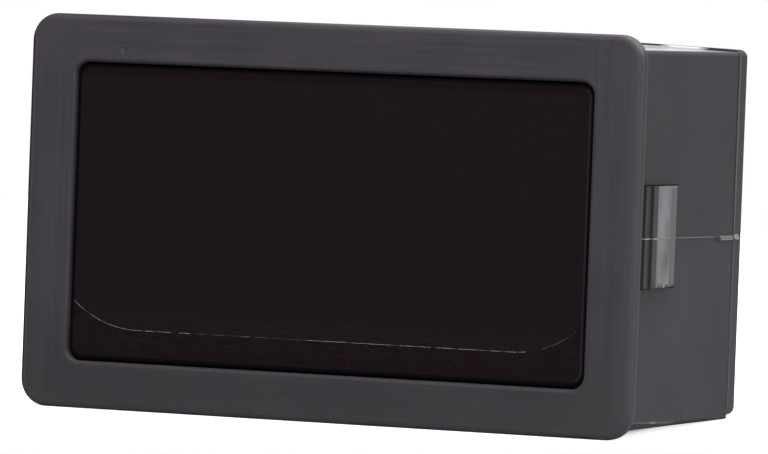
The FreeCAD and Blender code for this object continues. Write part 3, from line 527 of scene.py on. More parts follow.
# %% Edges of the body, and the case dressed
SIDE_SHADE_Z_MM = (2.0, 9.5, 2.0)
SIDE_PAINTED_SHADE = 0.18
TOP_EDGE_Z_MM = (13.25, FAR_MM, 0.15)
TOP_EDGE_HIGHLIGHT = 0.8
SILL_FRONT_MM = -13.26
SILL_REAR_MM = -13.65
SILL_SPAN_MM = 11.0
SILL_MM = (-0.07, 0.07, 0.04)
BELOW_SILL_SHADE_MM = (-FAR_MM, -0.06, 0.03)
NICK_PATCH_MM = 1.1111
NICKED_Y_MM = (5.6, 11.0, 0.3)
UNDER_EDGE_SHADE_Z_MM = (-FAR_MM, -13.60, 0.06)
UNDER_EDGE_SHADE_Y_MM = (10.5, 19.0, 1.2)
GAP_Y_MM = (22.10, FAR_MM, 0.03)
GAP_X_MM = (23.0, FAR_MM, 0.01)
GAP_LOW_SHADE = 0.45

# Painted shade darkens the side walls a little above the middle.
colour = paint(tree, colour, "#2b282d", on_body, band(tree, at_z, *SIDE_SHADE_Z_MM), SIDE_PAINTED_SHADE)
# Painted highlight along the body's upper edge.
colour = paint(tree, colour, "#6c696d", on_body, band(tree, at_z, *TOP_EDGE_Z_MM), TOP_EDGE_HIGHLIGHT)
# A painted highlight line low on the side wall, broken by nicks, runs back from the frame.
sill_z = add(tree, "ShaderNodeMapRange", {"Value": at_y, "From Max": SILL_SPAN_MM * MM,
                                          "To Min": SILL_FRONT_MM * MM, "To Max": SILL_REAR_MM * MM})
above_sill = add(tree, "ShaderNodeMath", {0: at_z, 1: sill_z}, operation="SUBTRACT")
nicks = uneven(tree, place, NICK_PATCH_MM, (0.52, 0.62), detail=1.0)
sill_highlight_colour = paint(tree, "#5d5a5e", "#8a878a", nicks, band(tree, at_y, *NICKED_Y_MM))
colour = paint(tree, colour, sill_highlight_colour, band(tree, above_sill, *SILL_MM),
               band(tree, at_y, 0.0, SILL_SPAN_MM, 0.6))
# Painted shade below the highlight line.
colour = paint(tree, colour, "#29272a", on_body, band(tree, above_sill, *BELOW_SILL_SHADE_MM))
# Painted shade along the body's lower edge towards the rear.
colour = paint(tree, colour, "#151316", band(tree, at_z, *UNDER_EDGE_SHADE_Z_MM), band(tree, at_y, *UNDER_EDGE_SHADE_Y_MM))
# Painted shade in the gap where the body meets the cover, weaker towards the bottom.
gap_shade = add(tree, "ShaderNodeMapRange", {"Value": at_z, "From Min": -7 * MM, "From Max": 4 * MM,
                                             "To Min": GAP_LOW_SHADE})
colour = paint(tree, colour, "#1a181b", band(tree, at_y, *GAP_Y_MM), band(tree, across, *GAP_X_MM), gap_shade)
close(tree, colour, rough, relief, IOR=ABS_IOR)
dress("case", charcoal_abs)
print("case wears", charcoal_abs.name, "with", len(tree.nodes), "shader nodes")

# %% [markdown]
# ## The rear cover
# The cover is moulded from the same plastic, with a matt face, and the rest of its side is painted a little
# lighter, as light. Its front edge stands a little above the body, and a painted highlight draws it as a fine pale
# line down the side, stronger in the upper half, and over the top as a bright gleam between two dark ends. The lip
# is only 0.2 mm high, so lamps alone wouldn't make its gleam, and it is painted as a highlight.

# %% Charcoal ABS of the cover
SIDE_X_MM = (22.9, FAR_MM, 0.02)
SIDE_LIGHT_Y_MM = (22.78, FAR_MM, 0.1)
SIDE_EDGE_Y_MM = (22.40, 22.78, 0.04)
UPPER_HALF_Z_MM = (1.0, FAR_MM, 3.0)
BODY_TOP_CORNER_MM = 13.45
TOP_BOW_MM = 0.44
LIP_Y_MM = (22.0, 22.6, 0.02)
LIP_Z_MM = (13.5, FAR_MM, 0.02)
LOW_LIP_MM = (-FAR_MM, 0.04, 0.03)
GLEAM_START_MM = 17.05
GLEAM_END_MM = 20.1

cover_abs, tree = new_material("cover_abs")
places, colour, rough, relief = moulded_abs(tree, "#38343a", "#403c43", 0.64)
place, at_x, at_y, at_z, across = places
side = band(tree, across, *SIDE_X_MM)
# Painted light on the rest of the cover's side face.
colour = paint(tree, colour, "#413e45", side, band(tree, at_y, *SIDE_LIGHT_Y_MM))
# Painted highlight down the cover's front edge on the side, stronger in the upper half.
edge_highlight_colour = paint(tree, "#555257", "#646166", band(tree, at_z, *UPPER_HALF_Z_MM))
colour = paint(tree, colour, edge_highlight_colour, side, band(tree, at_y, *SIDE_EDGE_Y_MM))
bow = add(tree, "ShaderNodeMath", {0: at_x, 1: 1 / (BODY_HALF_WIDTH_MM * MM)}, operation="MULTIPLY")
bow = add(tree, "ShaderNodeMath", {0: bow, 1: bow}, operation="MULTIPLY")
bow = add(tree, "ShaderNodeMapRange", {"Value": bow, "To Min": (BODY_TOP_CORNER_MM + TOP_BOW_MM) * MM,
                                       "To Max": BODY_TOP_CORNER_MM * MM})
above_body = add(tree, "ShaderNodeMath", {0: at_z, 1: bow}, operation="SUBTRACT")
# Painted highlight on the front of the lip over the top: the gleam.
low_gleam = overlap(tree, band(tree, above_body, *LOW_LIP_MM), band(tree, at_x, -FAR_MM, GLEAM_START_MM, 0.1))
gleam = add(tree, "ShaderNodeMath", {0: low_gleam, 1: band(tree, at_x, GLEAM_START_MM, GLEAM_END_MM, 0.5)},
            operation="ADD", use_clamp=True)
colour = paint(tree, colour, "#f5f3f7", gleam, band(tree, at_y, *LIP_Y_MM), band(tree, at_z, *LIP_Z_MM))
print("cover gleams between x =", GLEAM_START_MM, "and", GLEAM_END_MM, "mm")

# %% [markdown]
# ## Wear of the cover
# The cover is what fingers and wires touch. Its rounded edges are rubbed paler in patches, which a mask finds
# where the surface faces no single axis, and a few fine slanting scuffs cross the rear face. Scuffs come from
# noise that is stretched along one direction, and a second, coarser noise keeps them in clusters, or they would
# look like rain. A small ring shows where the plastic entered the mould.

# %% Rubbed edges, scuffs and gate mark of the cover
WEAR_PATCH_MM = 3.0
WEAR_LIGHT = 0.6
ROUND_EDGE = (0.80, 0.985)
SCUFF_MM = (7.0, 0.22, 1.0)
SCUFF_WAY = (0.82, 0, 0.57)
SCUFF_SIDE = (-0.57, 0, 0.82)
SCUFF_CLUSTER_MM = 7.0
REAR_Y_MM = (24.4, FAR_MM, 0.02)
GATE_MM = (0.0, 24.5, -8.6)
GATE_RING_MM = (0.55, 0.70, 0.04)

normal = add(tree, "ShaderNodeTexCoord").outputs["Normal"]
ways = add(tree, "ShaderNodeVectorMath", {0: normal}, operation="ABSOLUTE")
ways = add(tree, "ShaderNodeSeparateXYZ", {0: ways})
squarest = add(tree, "ShaderNodeMath", {0: ways.outputs["X"], 1: ways.outputs["Y"]}, operation="MAXIMUM")
squarest = add(tree, "ShaderNodeMath", {0: squarest, 1: ways.outputs["Z"]}, operation="MAXIMUM")
rounded = add(tree, "ShaderNodeMapRange", {"Value": squarest, "From Min": ROUND_EDGE[0],
                                           "From Max": ROUND_EDGE[1], "To Min": WEAR_LIGHT, "To Max": 0.0})
patches = uneven(tree, place, WEAR_PATCH_MM, (0.42, 0.62), (0.25, 1.0), 3.0)
colour = paint(tree, colour, "#6d6a6f", rounded, patches)
along, beside = [add(tree, "ShaderNodeVectorMath", {0: place, 1: way}, operation="DOT_PRODUCT").outputs["Value"]
                 for way in (SCUFF_WAY, SCUFF_SIDE)]
slanted = add(tree, "ShaderNodeCombineXYZ", {"X": along, "Y": beside})
scuffs = uneven(tree, slanted, SCUFF_MM, (0.62, 0.74), (0.0, 0.32), 1.0)
on_rear = band(tree, at_y, *REAR_Y_MM)
colour = paint(tree, colour, "#6a676c", scuffs, uneven(tree, place, SCUFF_CLUSTER_MM, (0.50, 0.62), detail=1.0),
               on_rear)
to_gate = add(tree, "ShaderNodeVectorMath", {0: place, 1: [v * MM for v in GATE_MM]}, operation="DISTANCE")
colour = paint(tree, colour, "#252326", band(tree, to_gate.outputs["Value"], *GATE_RING_MM), on_rear)
close(tree, colour, rough, relief, IOR=ABS_IOR)
dress("rear_cover", cover_abs)
print("cover wears", cover_abs.name)

# %% [markdown]
# ## Rubbed clips
# The clips are the same ABS, but the panel's edge has scraped along their ramps, which leaves them paler and
# smoother there, in soft patches. The two steps near the frame never touch the panel's edge for long, so they
# keep the colour of the wall, and the riser between them is painted dark as shade. A painted highlight runs along
# the ramp's upper edge. The parting line crosses the steps as a bright seam, and the ramp's lower end is torn
# ragged. Wear that follows the use of a part is best placed by its depth, so most masks here are along Y.

# %% Rubbed ABS of the clips
RAMP_START_MM = 4.1
LEAD_START_MM = 7.5
RISER_SHADE_Y_MM = (2.80, 3.2, 0.10)
FIRST_TREAD_Y_MM = (-FAR_MM, 2.95, 0.05)
SECOND_TREAD_Y_MM = (3.3, RAMP_START_MM, 0.05)
SEAM_Z_MM = (-0.125, -0.045, 0.015)
UPPER_EDGE_HIGHLIGHT_Z_MM = (3.52, 3.63, 0.02)
TORN_Z_MM = (-FAR_MM, -3.6, 0.03)
TORN_LEVELS_MM = (-0.12, 0.28)
TORN_PATCH_MM = 0.625
RUBBED_PATCH_MM = (2.381, 3.333, 5.263)

rubbed_abs, tree = new_material("rubbed_abs")
places, colour, rough, relief = moulded_abs(tree, "#3d3a3e", "#474448", 0.5)
place, _, at_y, at_z, _ = places
on_ramp = band(tree, at_y, RAMP_START_MM, FAR_MM, 0.08)
ramp_colour = paint(tree, "#5c595e", "#908d92", uneven(tree, place, RUBBED_PATCH_MM, (0.40, 0.62)))
ramp_colour = paint(tree, ramp_colour, "#6f6c70", band(tree, at_y, LEAD_START_MM, FAR_MM, 0.12))
colour = paint(tree, colour, ramp_colour, on_ramp)
# Painted shade on the riser between the two steps.
colour = paint(tree, colour, "#39363b", band(tree, at_y, *RISER_SHADE_Y_MM))
seam = band(tree, at_z, *SEAM_Z_MM)
treads = add(tree, "ShaderNodeMath", {0: band(tree, at_y, *FIRST_TREAD_Y_MM),
                                      1: band(tree, at_y, *SECOND_TREAD_Y_MM)}, operation="ADD")
colour = paint(tree, colour, "#858286", seam)
colour = paint(tree, colour, "#b5b1b4", seam, treads)
# Painted highlight along the ramp's upper edge.
colour = paint(tree, colour, "#8b888c", band(tree, at_z, *UPPER_EDGE_HIGHLIGHT_Z_MM), on_ramp)
torn_edge = uneven(tree, place, TORN_PATCH_MM, (0.3, 0.7), [level * MM for level in TORN_LEVELS_MM])
torn_edge = add(tree, "ShaderNodeMath", {0: at_z, 1: torn_edge}, operation="SUBTRACT")
colour = paint(tree, colour, "#3f3c40", band(tree, torn_edge, *TORN_Z_MM))
close(tree, colour, rough, relief, IOR=ABS_IOR)
for name in ("snap_clip_right", "snap_clip_left"):
    dress(name, rubbed_abs)
print("clips wear", rubbed_abs.name)

# %% [markdown]
# ## Smoked acrylic
# The pane is cast acrylic dyed so deep that the unlit display behind it can't be seen, so glass would only cost
# render time, and an opaque gloss does. It is polished, mirrors the room with a clean edge, and the dye leaves a
# trace of red where light gets through. Its rim is painted black, as shade in the gap round it, but for a painted
# highlight along the right bevel. Some dust lies along its foot.

# %% Smoked acrylic, polished
CLOUD_MM = 9.0
PANE_HALF_WIDTH_MM = 19.98
PANE_HALF_HEIGHT_MM = 10.59
PANE_CENTRE_X_MM = 0.06
PANE_CENTRE_Z_MM = 0.05
PANE_CORNER_MM = 0.8
BEVEL_HIGHLIGHT_MM = (-0.13, 0.0, 0.04)
BEVEL_HIGHLIGHT_X_MM = (19.6, FAR_MM, 0.15)
RIM_ROUGHNESS = 0.6
DUST_MM = (0.5882, 0.5882, 0.17857)
DUST_Z_MM = (-10.2, -7.2, 0.6)

smoked_acrylic, tree = new_material("smoked_acrylic")
place = add(tree, "ShaderNodeTexCoord").outputs["Object"]
axes = add(tree, "ShaderNodeSeparateXYZ", {0: place})
cloud = add(tree, "ShaderNodeTexNoise", {"Vector": place, "Scale": 1 / (CLOUD_MM * MM), "Detail": 2.0})
dye_and_painted_rim = paint(tree, "#14050d", "#140710", cloud)
haze = add(tree, "ShaderNodeMapRange", {"Value": cloud, "To Min": 0.04, "To Max": 0.09})
offset = add(tree, "ShaderNodeVectorMath", {0: place, 1: (PANE_CENTRE_X_MM * MM, 0, PANE_CENTRE_Z_MM * MM)},
             operation="SUBTRACT")
offset = add(tree, "ShaderNodeVectorMath", {0: offset}, operation="ABSOLUTE")
flat_x = (PANE_HALF_WIDTH_MM - PANE_CORNER_MM) * MM
flat_z = (PANE_HALF_HEIGHT_MM - PANE_CORNER_MM) * MM
past = add(tree, "ShaderNodeVectorMath", {0: offset, 1: (flat_x, 1.0, flat_z)}, operation="SUBTRACT")
corner = add(tree, "ShaderNodeVectorMath", {0: past, 1: (0, 0, 0)}, operation="MAXIMUM")
corner = add(tree, "ShaderNodeVectorMath", {0: corner}, operation="LENGTH").outputs["Value"]
outside = add(tree, "ShaderNodeMath", {0: corner, 1: PANE_CORNER_MM * MM}, operation="SUBTRACT")
rim = band(tree, outside, 0.0, FAR_MM, 0.04)
# Painted shade blackens the rim of the pane.
dye_and_painted_rim = paint(tree, dye_and_painted_rim, "#0b090c", rim)
# Painted highlight along the right bevel of the pane.
dye_and_painted_rim = paint(tree, dye_and_painted_rim, "#242128", band(tree, outside, *BEVEL_HIGHLIGHT_MM), band(tree, axes.outputs["X"], *BEVEL_HIGHLIGHT_X_MM))
dust = uneven(tree, place, DUST_MM, (0.4, 0.7), (0.0, 0.07), 3.0, 0.6)
dye_and_painted_rim = paint(tree, dye_and_painted_rim, "#4a4548", dust, band(tree, axes.outputs["Z"], *DUST_Z_MM))
haze = add(tree, "ShaderNodeMix", {"Factor": rim, "A": haze, "B": RIM_ROUGHNESS}, data_type="FLOAT")
sheen = add(tree, "ShaderNodeMapRange", {"Value": rim, "To Min": 0.5, "To Max": 0.06})
close(tree, dye_and_painted_rim, haze, **{"Specular IOR Level": sheen, "IOR": 1.49})
dress("window", smoked_acrylic)
print("window wears", smoked_acrylic.name)

# %% [markdown]
# ## Small parts: a grain to start from
# The parts inside and at the rear are moulded, plated, drawn or fired. Each could have a material of its own from
# scratch, but all of them start from one fine noise that moves colour, roughness and relief together. So one
# helper lays that grain, and another gives the finished skin to every CAD node in its slot of the record.

# %% Grain, and dressing by slot
FINE_SPREAD = 0.06
slot_of = {part["node"]: part["material_slot"] for part in frame["record"]["subparts"]}


def grained(name, dark, light, roughness, grain_mm, bump=0.2, stretch=(1, 1, 1)):
    """An open material whose grain can be drawn out along an axis by a stretch below 1."""
    material, tree = new_material(name)
    place = add(tree, "ShaderNodeTexCoord").outputs["Object"]
    steps = add(tree, "ShaderNodeVectorMath", {0: place, 1: [s / (grain_mm * MM) for s in stretch]},
                operation="MULTIPLY")
    grain = add(tree, "ShaderNodeTexNoise", {"Vector": steps, "Scale": 1.0, "Detail": 3.0})
    tone = add(tree, "ShaderNodeMapRange", {"Value": grain, "From Min": 0.3, "From Max": 0.7})
    rough = add(tree, "ShaderNodeMapRange", {"Value": tone, "To Min": roughness - FINE_SPREAD,
                                             "To Max": roughness + FINE_SPREAD})
    relief = add(tree, "ShaderNodeBump", {"Height": grain, "Strength": bump, "Distance": GRAIN_DEPTH_MM * MM})
    return material, tree, place, paint(tree, dark, light, tone), rough, relief


def dress_slot(slot, material):
    """Gives a material to every CAD node in a slot."""
    wearers = [name for name in nodes if slot_of[name] == slot]
    for name in wearers:
        dress(name, material)
    print(material.name, "on", ", ".join(wearers))


print("slots to dress:", len(set(slot_of.values())))

# %% [markdown]
# ## Natural nylon
# The two sockets are moulded in undyed nylon, a warm white with a soft sheen. The melt clouds it, and age yellows
# it unevenly. One plain white would look like paint, so a soft cloud carries the yellow.

# %% Nylon, moulded and undyed
NYLON_CLOUD_MM = 2.5
NYLON_AGE = 0.5

natural_nylon, tree, place, colour, rough, relief = grained("natural_nylon", "#dfd9ca", "#ebe6da", 0.42, 0.18)
cloud = uneven(tree, place, NYLON_CLOUD_MM, (0.35, 0.65), (0.0, NYLON_AGE), 1.0)
close(tree, paint(tree, colour, "#d6cdb6", cloud), rough, relief, IOR=1.53)
dress_slot("socket_white", natural_nylon)

# %% [markdown]
# ## Tinned brass
# Pins and leads are drawn or punched from brass and copper and then tinned, which gives a soft bright grey with
# fine lines along the pin. Socket pins are cut after plating, so their ends show yellow brass. The lines are
# drawn five times coarser than real ones, or they wouldn't show.

# %% Brass, drawn and tinned
DRAW_LINE_MM = 0.08
CUT_END_Y_MM = (22.37, 23.0, 0.02)

tinned_brass, tree, place, colour, rough, relief = grained(
    "tinned_brass", "#cbc8c1", "#e0ddd7", 0.28, DRAW_LINE_MM, 0.3, (1, 0.06, 1))
depth = add(tree, "ShaderNodeSeparateXYZ", {0: place}).outputs["Y"]
close(tree, paint(tree, colour, "#c8a75e", band(tree, depth, *CUT_END_Y_MM)), rough, relief, Metallic=1.0)
dress_slot("tinned_pin", tinned_brass)

# %% [markdown]
# ## Circuit boards
# A board is glass cloth in epoxy with copper tracks under a green mask. The mask is glossy, looks lighter over
# copper, and stands up a little there. A sawn edge shows the straw colour of the bare laminate. Modelled tracks
# would be thousands of faces that hardly show, so the tracks are drawn. They keep to a grid, and each cell of it
# throws a dice for whether a run crosses it, once along X and once along Z.

# %% Solder mask over tracks, and sawn laminate
TRACK_PITCH_MM = 1.27
TRACK_HALF_WIDTH = 0.14
TRACK_SOFT = 0.02
TRACK_HEIGHT_MM = 0.035
SAWN = (0.5, 0.6)
RUN_CELLS = 4
RUN_CHANCE = 0.45

solder_mask, tree, place, colour, rough, relief = grained("green_solder_mask", "#165637", "#1a6240", 0.28, 0.25)
cells = add(tree, "ShaderNodeVectorMath", {0: place, 1: [1 / (TRACK_PITCH_MM * MM)] * 3}, operation="MULTIPLY")
cells = add(tree, "ShaderNodeSeparateXYZ", {0: cells})
tracks = 0.0
for along, beside, throw in (("X", "Z", 3.0), ("Z", "X", 8.0)):
    lane = add(tree, "ShaderNodeMath", {0: cells.outputs[beside]}, operation="FLOOR")
    middle = add(tree, "ShaderNodeMath", {0: cells.outputs[beside], 1: lane}, operation="SUBTRACT")
    middle = add(tree, "ShaderNodeMath", {0: middle, 1: 0.5}, operation="SUBTRACT")
    middle = add(tree, "ShaderNodeMath", {0: middle}, operation="ABSOLUTE")
    line = add(tree, "ShaderNodeMapRange", {"Value": middle, "From Min": TRACK_HALF_WIDTH - TRACK_SOFT,
                                            "From Max": TRACK_HALF_WIDTH + TRACK_SOFT, "To Min": 1.0, "To Max": 0.0})
    run = add(tree, "ShaderNodeMath", {0: cells.outputs[along], 1: RUN_CELLS}, operation="DIVIDE")
    run = add(tree, "ShaderNodeMath", {0: run}, operation="FLOOR")
    dice = add(tree, "ShaderNodeCombineXYZ", {"X": run, "Y": lane, "Z": throw})
    dice = add(tree, "ShaderNodeTexWhiteNoise", {"Vector": dice}, noise_dimensions="3D").outputs["Value"]
    crossed = add(tree, "ShaderNodeMath", {0: dice, 1: RUN_CHANCE}, operation="LESS_THAN")
    tracks = add(tree, "ShaderNodeMath", {0: overlap(tree, line, crossed), 1: tracks}, operation="MAXIMUM")
relief = add(tree, "ShaderNodeBump", {"Height": tracks, "Strength": 0.6, "Distance": TRACK_HEIGHT_MM * MM,
                                      "Normal": relief})
flat = add(tree, "ShaderNodeMath", {0: turned_to(tree, "Y")}, operation="ABSOLUTE")
sawn = add(tree, "ShaderNodeMapRange", {"Value": flat, "From Min": SAWN[1], "From Max": SAWN[0]})
colour = paint(tree, colour, "#2c8659", tracks)
close(tree, paint(tree, colour, "#b3aa78", sawn), rough, relief, IOR=1.5)
dress_slot("green_board", solder_mask)

# %% [markdown]
# ## Moulded epoxy
# Chips are moulded in black epoxy that is filled with fine glass, so they are matt and slightly grey. A small
# smooth dimple shows which pin comes first, and a mask is enough for it. Nothing is printed on them here.

# %% Epoxy, moulded, with its dimples
DIMPLES_MM = [(-10.2, 1.15), (6.45, 4.35)]
DIMPLE_MM = (-FAR_MM, 0.35, 0.02)
DIMPLE_ROUGHNESS = 0.25

moulded_epoxy, tree, place, colour, rough, relief = grained("moulded_epoxy", "#1f1f21", "#2b2b2d", 0.6, 0.1, 0.5)
flat_place = add(tree, "ShaderNodeVectorMath", {0: place, 1: (1, 0, 1)}, operation="MULTIPLY")
for x_mm, z_mm in DIMPLES_MM:
    offset = add(tree, "ShaderNodeVectorMath", {0: flat_place, 1: (x_mm * MM, 0, z_mm * MM)}, operation="DISTANCE")
    dimple = band(tree, offset.outputs["Value"], *DIMPLE_MM)
    colour = paint(tree, colour, "#151517", dimple)
    rough = add(tree, "ShaderNodeMix", {"Factor": dimple, "A": rough, "B": DIMPLE_ROUGHNESS}, data_type="FLOAT")
close(tree, colour, rough, relief, IOR=1.55)
dress_slot("chip_black", moulded_epoxy)

# %% [markdown]
# ## Drawn aluminium
# The capacitor's can is drawn over a punch, which leaves fine rings round it. Its top is printed black on the
# minus side, and paint is no metal, so the same mask also takes the metal away.

# %% Aluminium can with its black bar
BAR_X_MM = (0.0, 6.3, 0.02)
TOWARDS_FRONT = (-0.95, -0.9)

drawn_can, tree, place, colour, rough, relief = grained(
    "drawn_aluminium", "#c9cbce", "#dedfe1", 0.3, 0.12, 0.3, (0.04, 1, 0.04))
on_top = add(tree, "ShaderNodeMapRange", {"Value": turned_to(tree, "Y"), "From Min": TOWARDS_FRONT[1],
                                          "From Max": TOWARDS_FRONT[0]})
at_x = add(tree, "ShaderNodeSeparateXYZ", {0: place}).outputs["X"]
bar = overlap(tree, on_top, band(tree, at_x, *BAR_X_MM))
metal = add(tree, "ShaderNodeMath", {0: 1.0, 1: bar}, operation="SUBTRACT")
close(tree, paint(tree, colour, "#1c1c1e", bar), rough, relief, Metallic=metal)
dress_slot("capacitor_aluminium", drawn_can)

# %% [markdown]
# ## Glazed and fired chip parts
# Chip resistors are alumina with a black glaze, chip capacitors are bare fired ceramic, and both have tinned
# ends. They stand 2 mm apart in rows, so the place within each 2 mm tells the ends from the middle. The rows on
# the two boards start at different places, which the shifts take up.

# %% Resistors and ceramic capacitors with tinned ends
PART_PITCH_MM = 2.0
PART_END_MM = (0.5, PART_PITCH_MM, 0.015)
BETWEEN_BOARDS_MM = 13.0


def plated_ends(tree, place, front_shift_mm, rear_shift_mm):
    """1 on the tinned ends of a row of chip parts."""
    axes = add(tree, "ShaderNodeSeparateXYZ", {0: place})
    shift = add(tree, "ShaderNodeMapRange", {"Value": axes.outputs["Y"], "From Min": BETWEEN_BOARDS_MM * MM,
                                             "From Max": (BETWEEN_BOARDS_MM + 0.1) * MM,
                                             "To Min": front_shift_mm * MM, "To Max": rear_shift_mm * MM})
    along = add(tree, "ShaderNodeMath", {0: axes.outputs["X"], 1: shift}, operation="ADD")
    along = add(tree, "ShaderNodeMath", {0: along, 1: PART_PITCH_MM * MM}, operation="FLOORED_MODULO")
    along = add(tree, "ShaderNodeMath", {0: along, 1: PART_PITCH_MM / 2 * MM}, operation="SUBTRACT")
    along = add(tree, "ShaderNodeMath", {0: along}, operation="ABSOLUTE")
    return band(tree, along, *PART_END_MM)


for slot, name, dark, light, roughness, ior, shifts in (
        ("resistor_black", "glazed_alumina", "#18181a", "#242426", 0.22, 1.5, (0.0, 1.0)),
        ("ceramic_tan", "fired_ceramic", "#a18360", "#b69975", 0.6, 1.6, (0.4, 1.4))):
    chip_skin, tree, place, colour, rough, relief = grained(name, dark, light, roughness, 0.12)
    ends = plated_ends(tree, place, *shifts)
    close(tree, paint(tree, colour, "#d2cfc9", ends), rough, relief, Metallic=ends, IOR=ior)
    dress_slot(slot, chip_skin)

# %% [markdown]
# ## Resistance wire
# The shunt is a bow of drawn copper-nickel-manganese wire. It is soldered hot, so the legs are straw-brown near
# the board and the bow keeps the pinkish grey of the alloy. Heat colours fade without an edge, so the depth
# alone drives this one.

# %% Shunt wire, drawn
HEAT_LOW_MM = 17.4
HEAT_HIGH_MM = 19.2
HEAT_TINT = 0.7

shunt_wire, tree, place, colour, rough, relief = grained(
    "drawn_resistance_wire", "#b3a493", "#cabcac", 0.33, 0.1, 0.3, (0.15, 0.15, 1))
depth = add(tree, "ShaderNodeSeparateXYZ", {0: place}).outputs["Y"]
heat = add(tree, "ShaderNodeMapRange", {"Value": depth, "From Min": HEAT_LOW_MM * MM, "From Max": HEAT_HIGH_MM * MM,
                                        "To Min": HEAT_TINT, "To Max": 0.0})
close(tree, paint(tree, colour, "#8f6f4a", heat), rough, relief, Metallic=1.0)
dress_slot("shunt_alloy", shunt_wire)

# %% [markdown]
# ## The display's skins and the last mouldings
# The display block is moulded white so that its light wells reflect, and its face is printed grey so that unlit
# segments vanish. The wells are filled with milky epoxy. The trimmer is blue polyester with a white rotor, and a
# frame of closed-cell foam seals the display to the pane. The foam's cells are larger than a grain, so they have
# a cell pattern of their own.

# %% Display, foam, epoxy, trimmer and film
FOAM_CELL_MM = 0.3
FOAM_RELIEF_MM = 0.08

display_skin, tree, _, colour, rough, relief = grained("printed_polycarbonate", "#676769", "#717173", 0.5, 0.2)
moulded_white = add(tree, "ShaderNodeMapRange", {"Value": turned_to(tree, "Y"), "From Min": TOWARDS_FRONT[0],
                                                 "From Max": TOWARDS_FRONT[1]})
close(tree, paint(tree, colour, "#d9d7d1", moulded_white), rough, relief, IOR=1.58)
dress_slot("display_grey", display_skin)

foam_skin, tree, place, colour, rough, relief = grained("closed_cell_foam", "#111111", "#1d1c1c", 0.9, 0.3)
cell = add(tree, "ShaderNodeTexVoronoi", {"Vector": place, "Scale": 1 / (FOAM_CELL_MM * MM)}).outputs["Distance"]
relief = add(tree, "ShaderNodeBump", {"Height": cell, "Strength": 0.8, "Distance": FOAM_RELIEF_MM * MM})
close(tree, paint(tree, colour, "#0b0b0b", cell), rough, relief, IOR=1.5)
dress_slot("black_foam", foam_skin)

for slot, name, dark, light, roughness, grain_mm, ior in (
        ("milky_epoxy", "milky_epoxy", "#cbc7bf", "#d8d5ce", 0.3, 0.5, 1.55),
        ("trimmer_blue", "blue_polyester", "#1c52a0", "#2563b8", 0.33, 0.2, 1.56),
        ("trimmer_white", "white_polyester", "#d9d7cf", "#e8e6df", 0.45, 0.15, 1.56)):
    skin, tree, _, colour, rough, relief = grained(name, dark, light, roughness, grain_mm)
    close(tree, colour, rough, relief, IOR=ior)
    dress_slot(slot, skin)

polyester_film, tree, _, colour, rough, relief = grained("polyester_film", "#8a8a8c", "#98989a", 0.12, 0.4)
close(tree, colour, rough, relief, Alpha=0.004, IOR=1.45)
dress_slot("clear_film", polyester_film)

# %% [markdown]
# ## The protective film
# The clear film is a soft sheet, so the scene replaces the solid with its own sheet a hair's breadth in front of
# the pane. A sheet without thickness would do for the eye, but a thin solid also has an edge to look at. The
# outline runs along the straight lower edge and turns up into each side in a round corner.

# %% Film sheet
FILM_HALF_WIDTH_MM = 19.95
FILM_LOW_MM = -8.56
FILM_HIGH_MM = 10.10
FILM_ARC_MM = 7.7
FILM_ARC_START_MM = 14.75
FILM_FRONT_MM = -0.90
FILM_REAR_MM = -0.86
ARC_STEPS = 16


def solid_between(name, rings):
    """A solid through rings of points in millimetres, capped at its two ends."""
    mesh = bpy.data.meshes.new(name)
    made = bmesh.new()
    rows = [[made.verts.new(Vector(point) * MM) for point in ring] for ring in rings]
    for first, second in zip(rows, rows[1:]):
        for i in range(len(first)):
            j = (i + 1) % len(first)
            made.faces.new((first[i], first[j], second[j], second[i]))
    made.faces.new(rows[0])
    made.faces.new(rows[-1])
    bmesh.ops.recalc_face_normals(made, faces=made.faces)
    made.to_mesh(mesh)
    made.free()
    piece = bpy.data.objects.new(name, mesh)
    bpy.context.scene.collection.objects.link(piece)
    return piece


last = math.asin((FILM_HALF_WIDTH_MM - FILM_ARC_START_MM) / FILM_ARC_MM)
angles = [last * i / ARC_STEPS for i in range(ARC_STEPS + 1)]
arc = [(FILM_ARC_START_MM + FILM_ARC_MM * math.sin(a), FILM_LOW_MM + FILM_ARC_MM * (1 - math.cos(a)))
       for a in angles]
left_arc = [(-x, z) for x, z in reversed(arc)]
outline = left_arc + arc + [(FILM_HALF_WIDTH_MM, FILM_HIGH_MM), (-FILM_HALF_WIDTH_MM, FILM_HIGH_MM)]
film = solid_between("film_sheet", [[(x, y, z) for x, z in outline] for y in (FILM_FRONT_MM, FILM_REAR_MM)])
film.data.materials.append(polyester_film)
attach(film, "meter")
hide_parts("protective_film")
print("film sheet has", len(outline), "outline points")

# %% [markdown]
# ## The film's cut edge
# The sheet is almost invisible, and its cut edge gives it away: light travels inside a clear film and leaves at
# the cut, so the lower edge glows as a thin line, bright where the knife left it clean and lost where it lies
# flat on the pane. Light inside so thin a film is hard to trace, so the edge is a thin rod in front of the
# sheet, and its opacity says where it glows.

# %% Cut edge of the film
EDGE_HALF_WIDTH_MM = 0.015
EDGE_FRONT_MM = -0.912
EDGE_REAR_MM = -0.903
EDGE_STEP_MM = 0.25
GLOW_SOFT_MM = 0.08
DASH_MM = 0.7143
GLOWS = [(-25.0, -14.7, 0.55), (-14.7, -12.1, 1.0), (-11.4, -10.5, 1.0), (-10.5, -2.1, 0.14), (-6.5, -5.8, 0.5),
         (-2.1, 8.4, 0.6), (8.8, 15.7, 1.0), (17.0, 19.5, 0.18)]

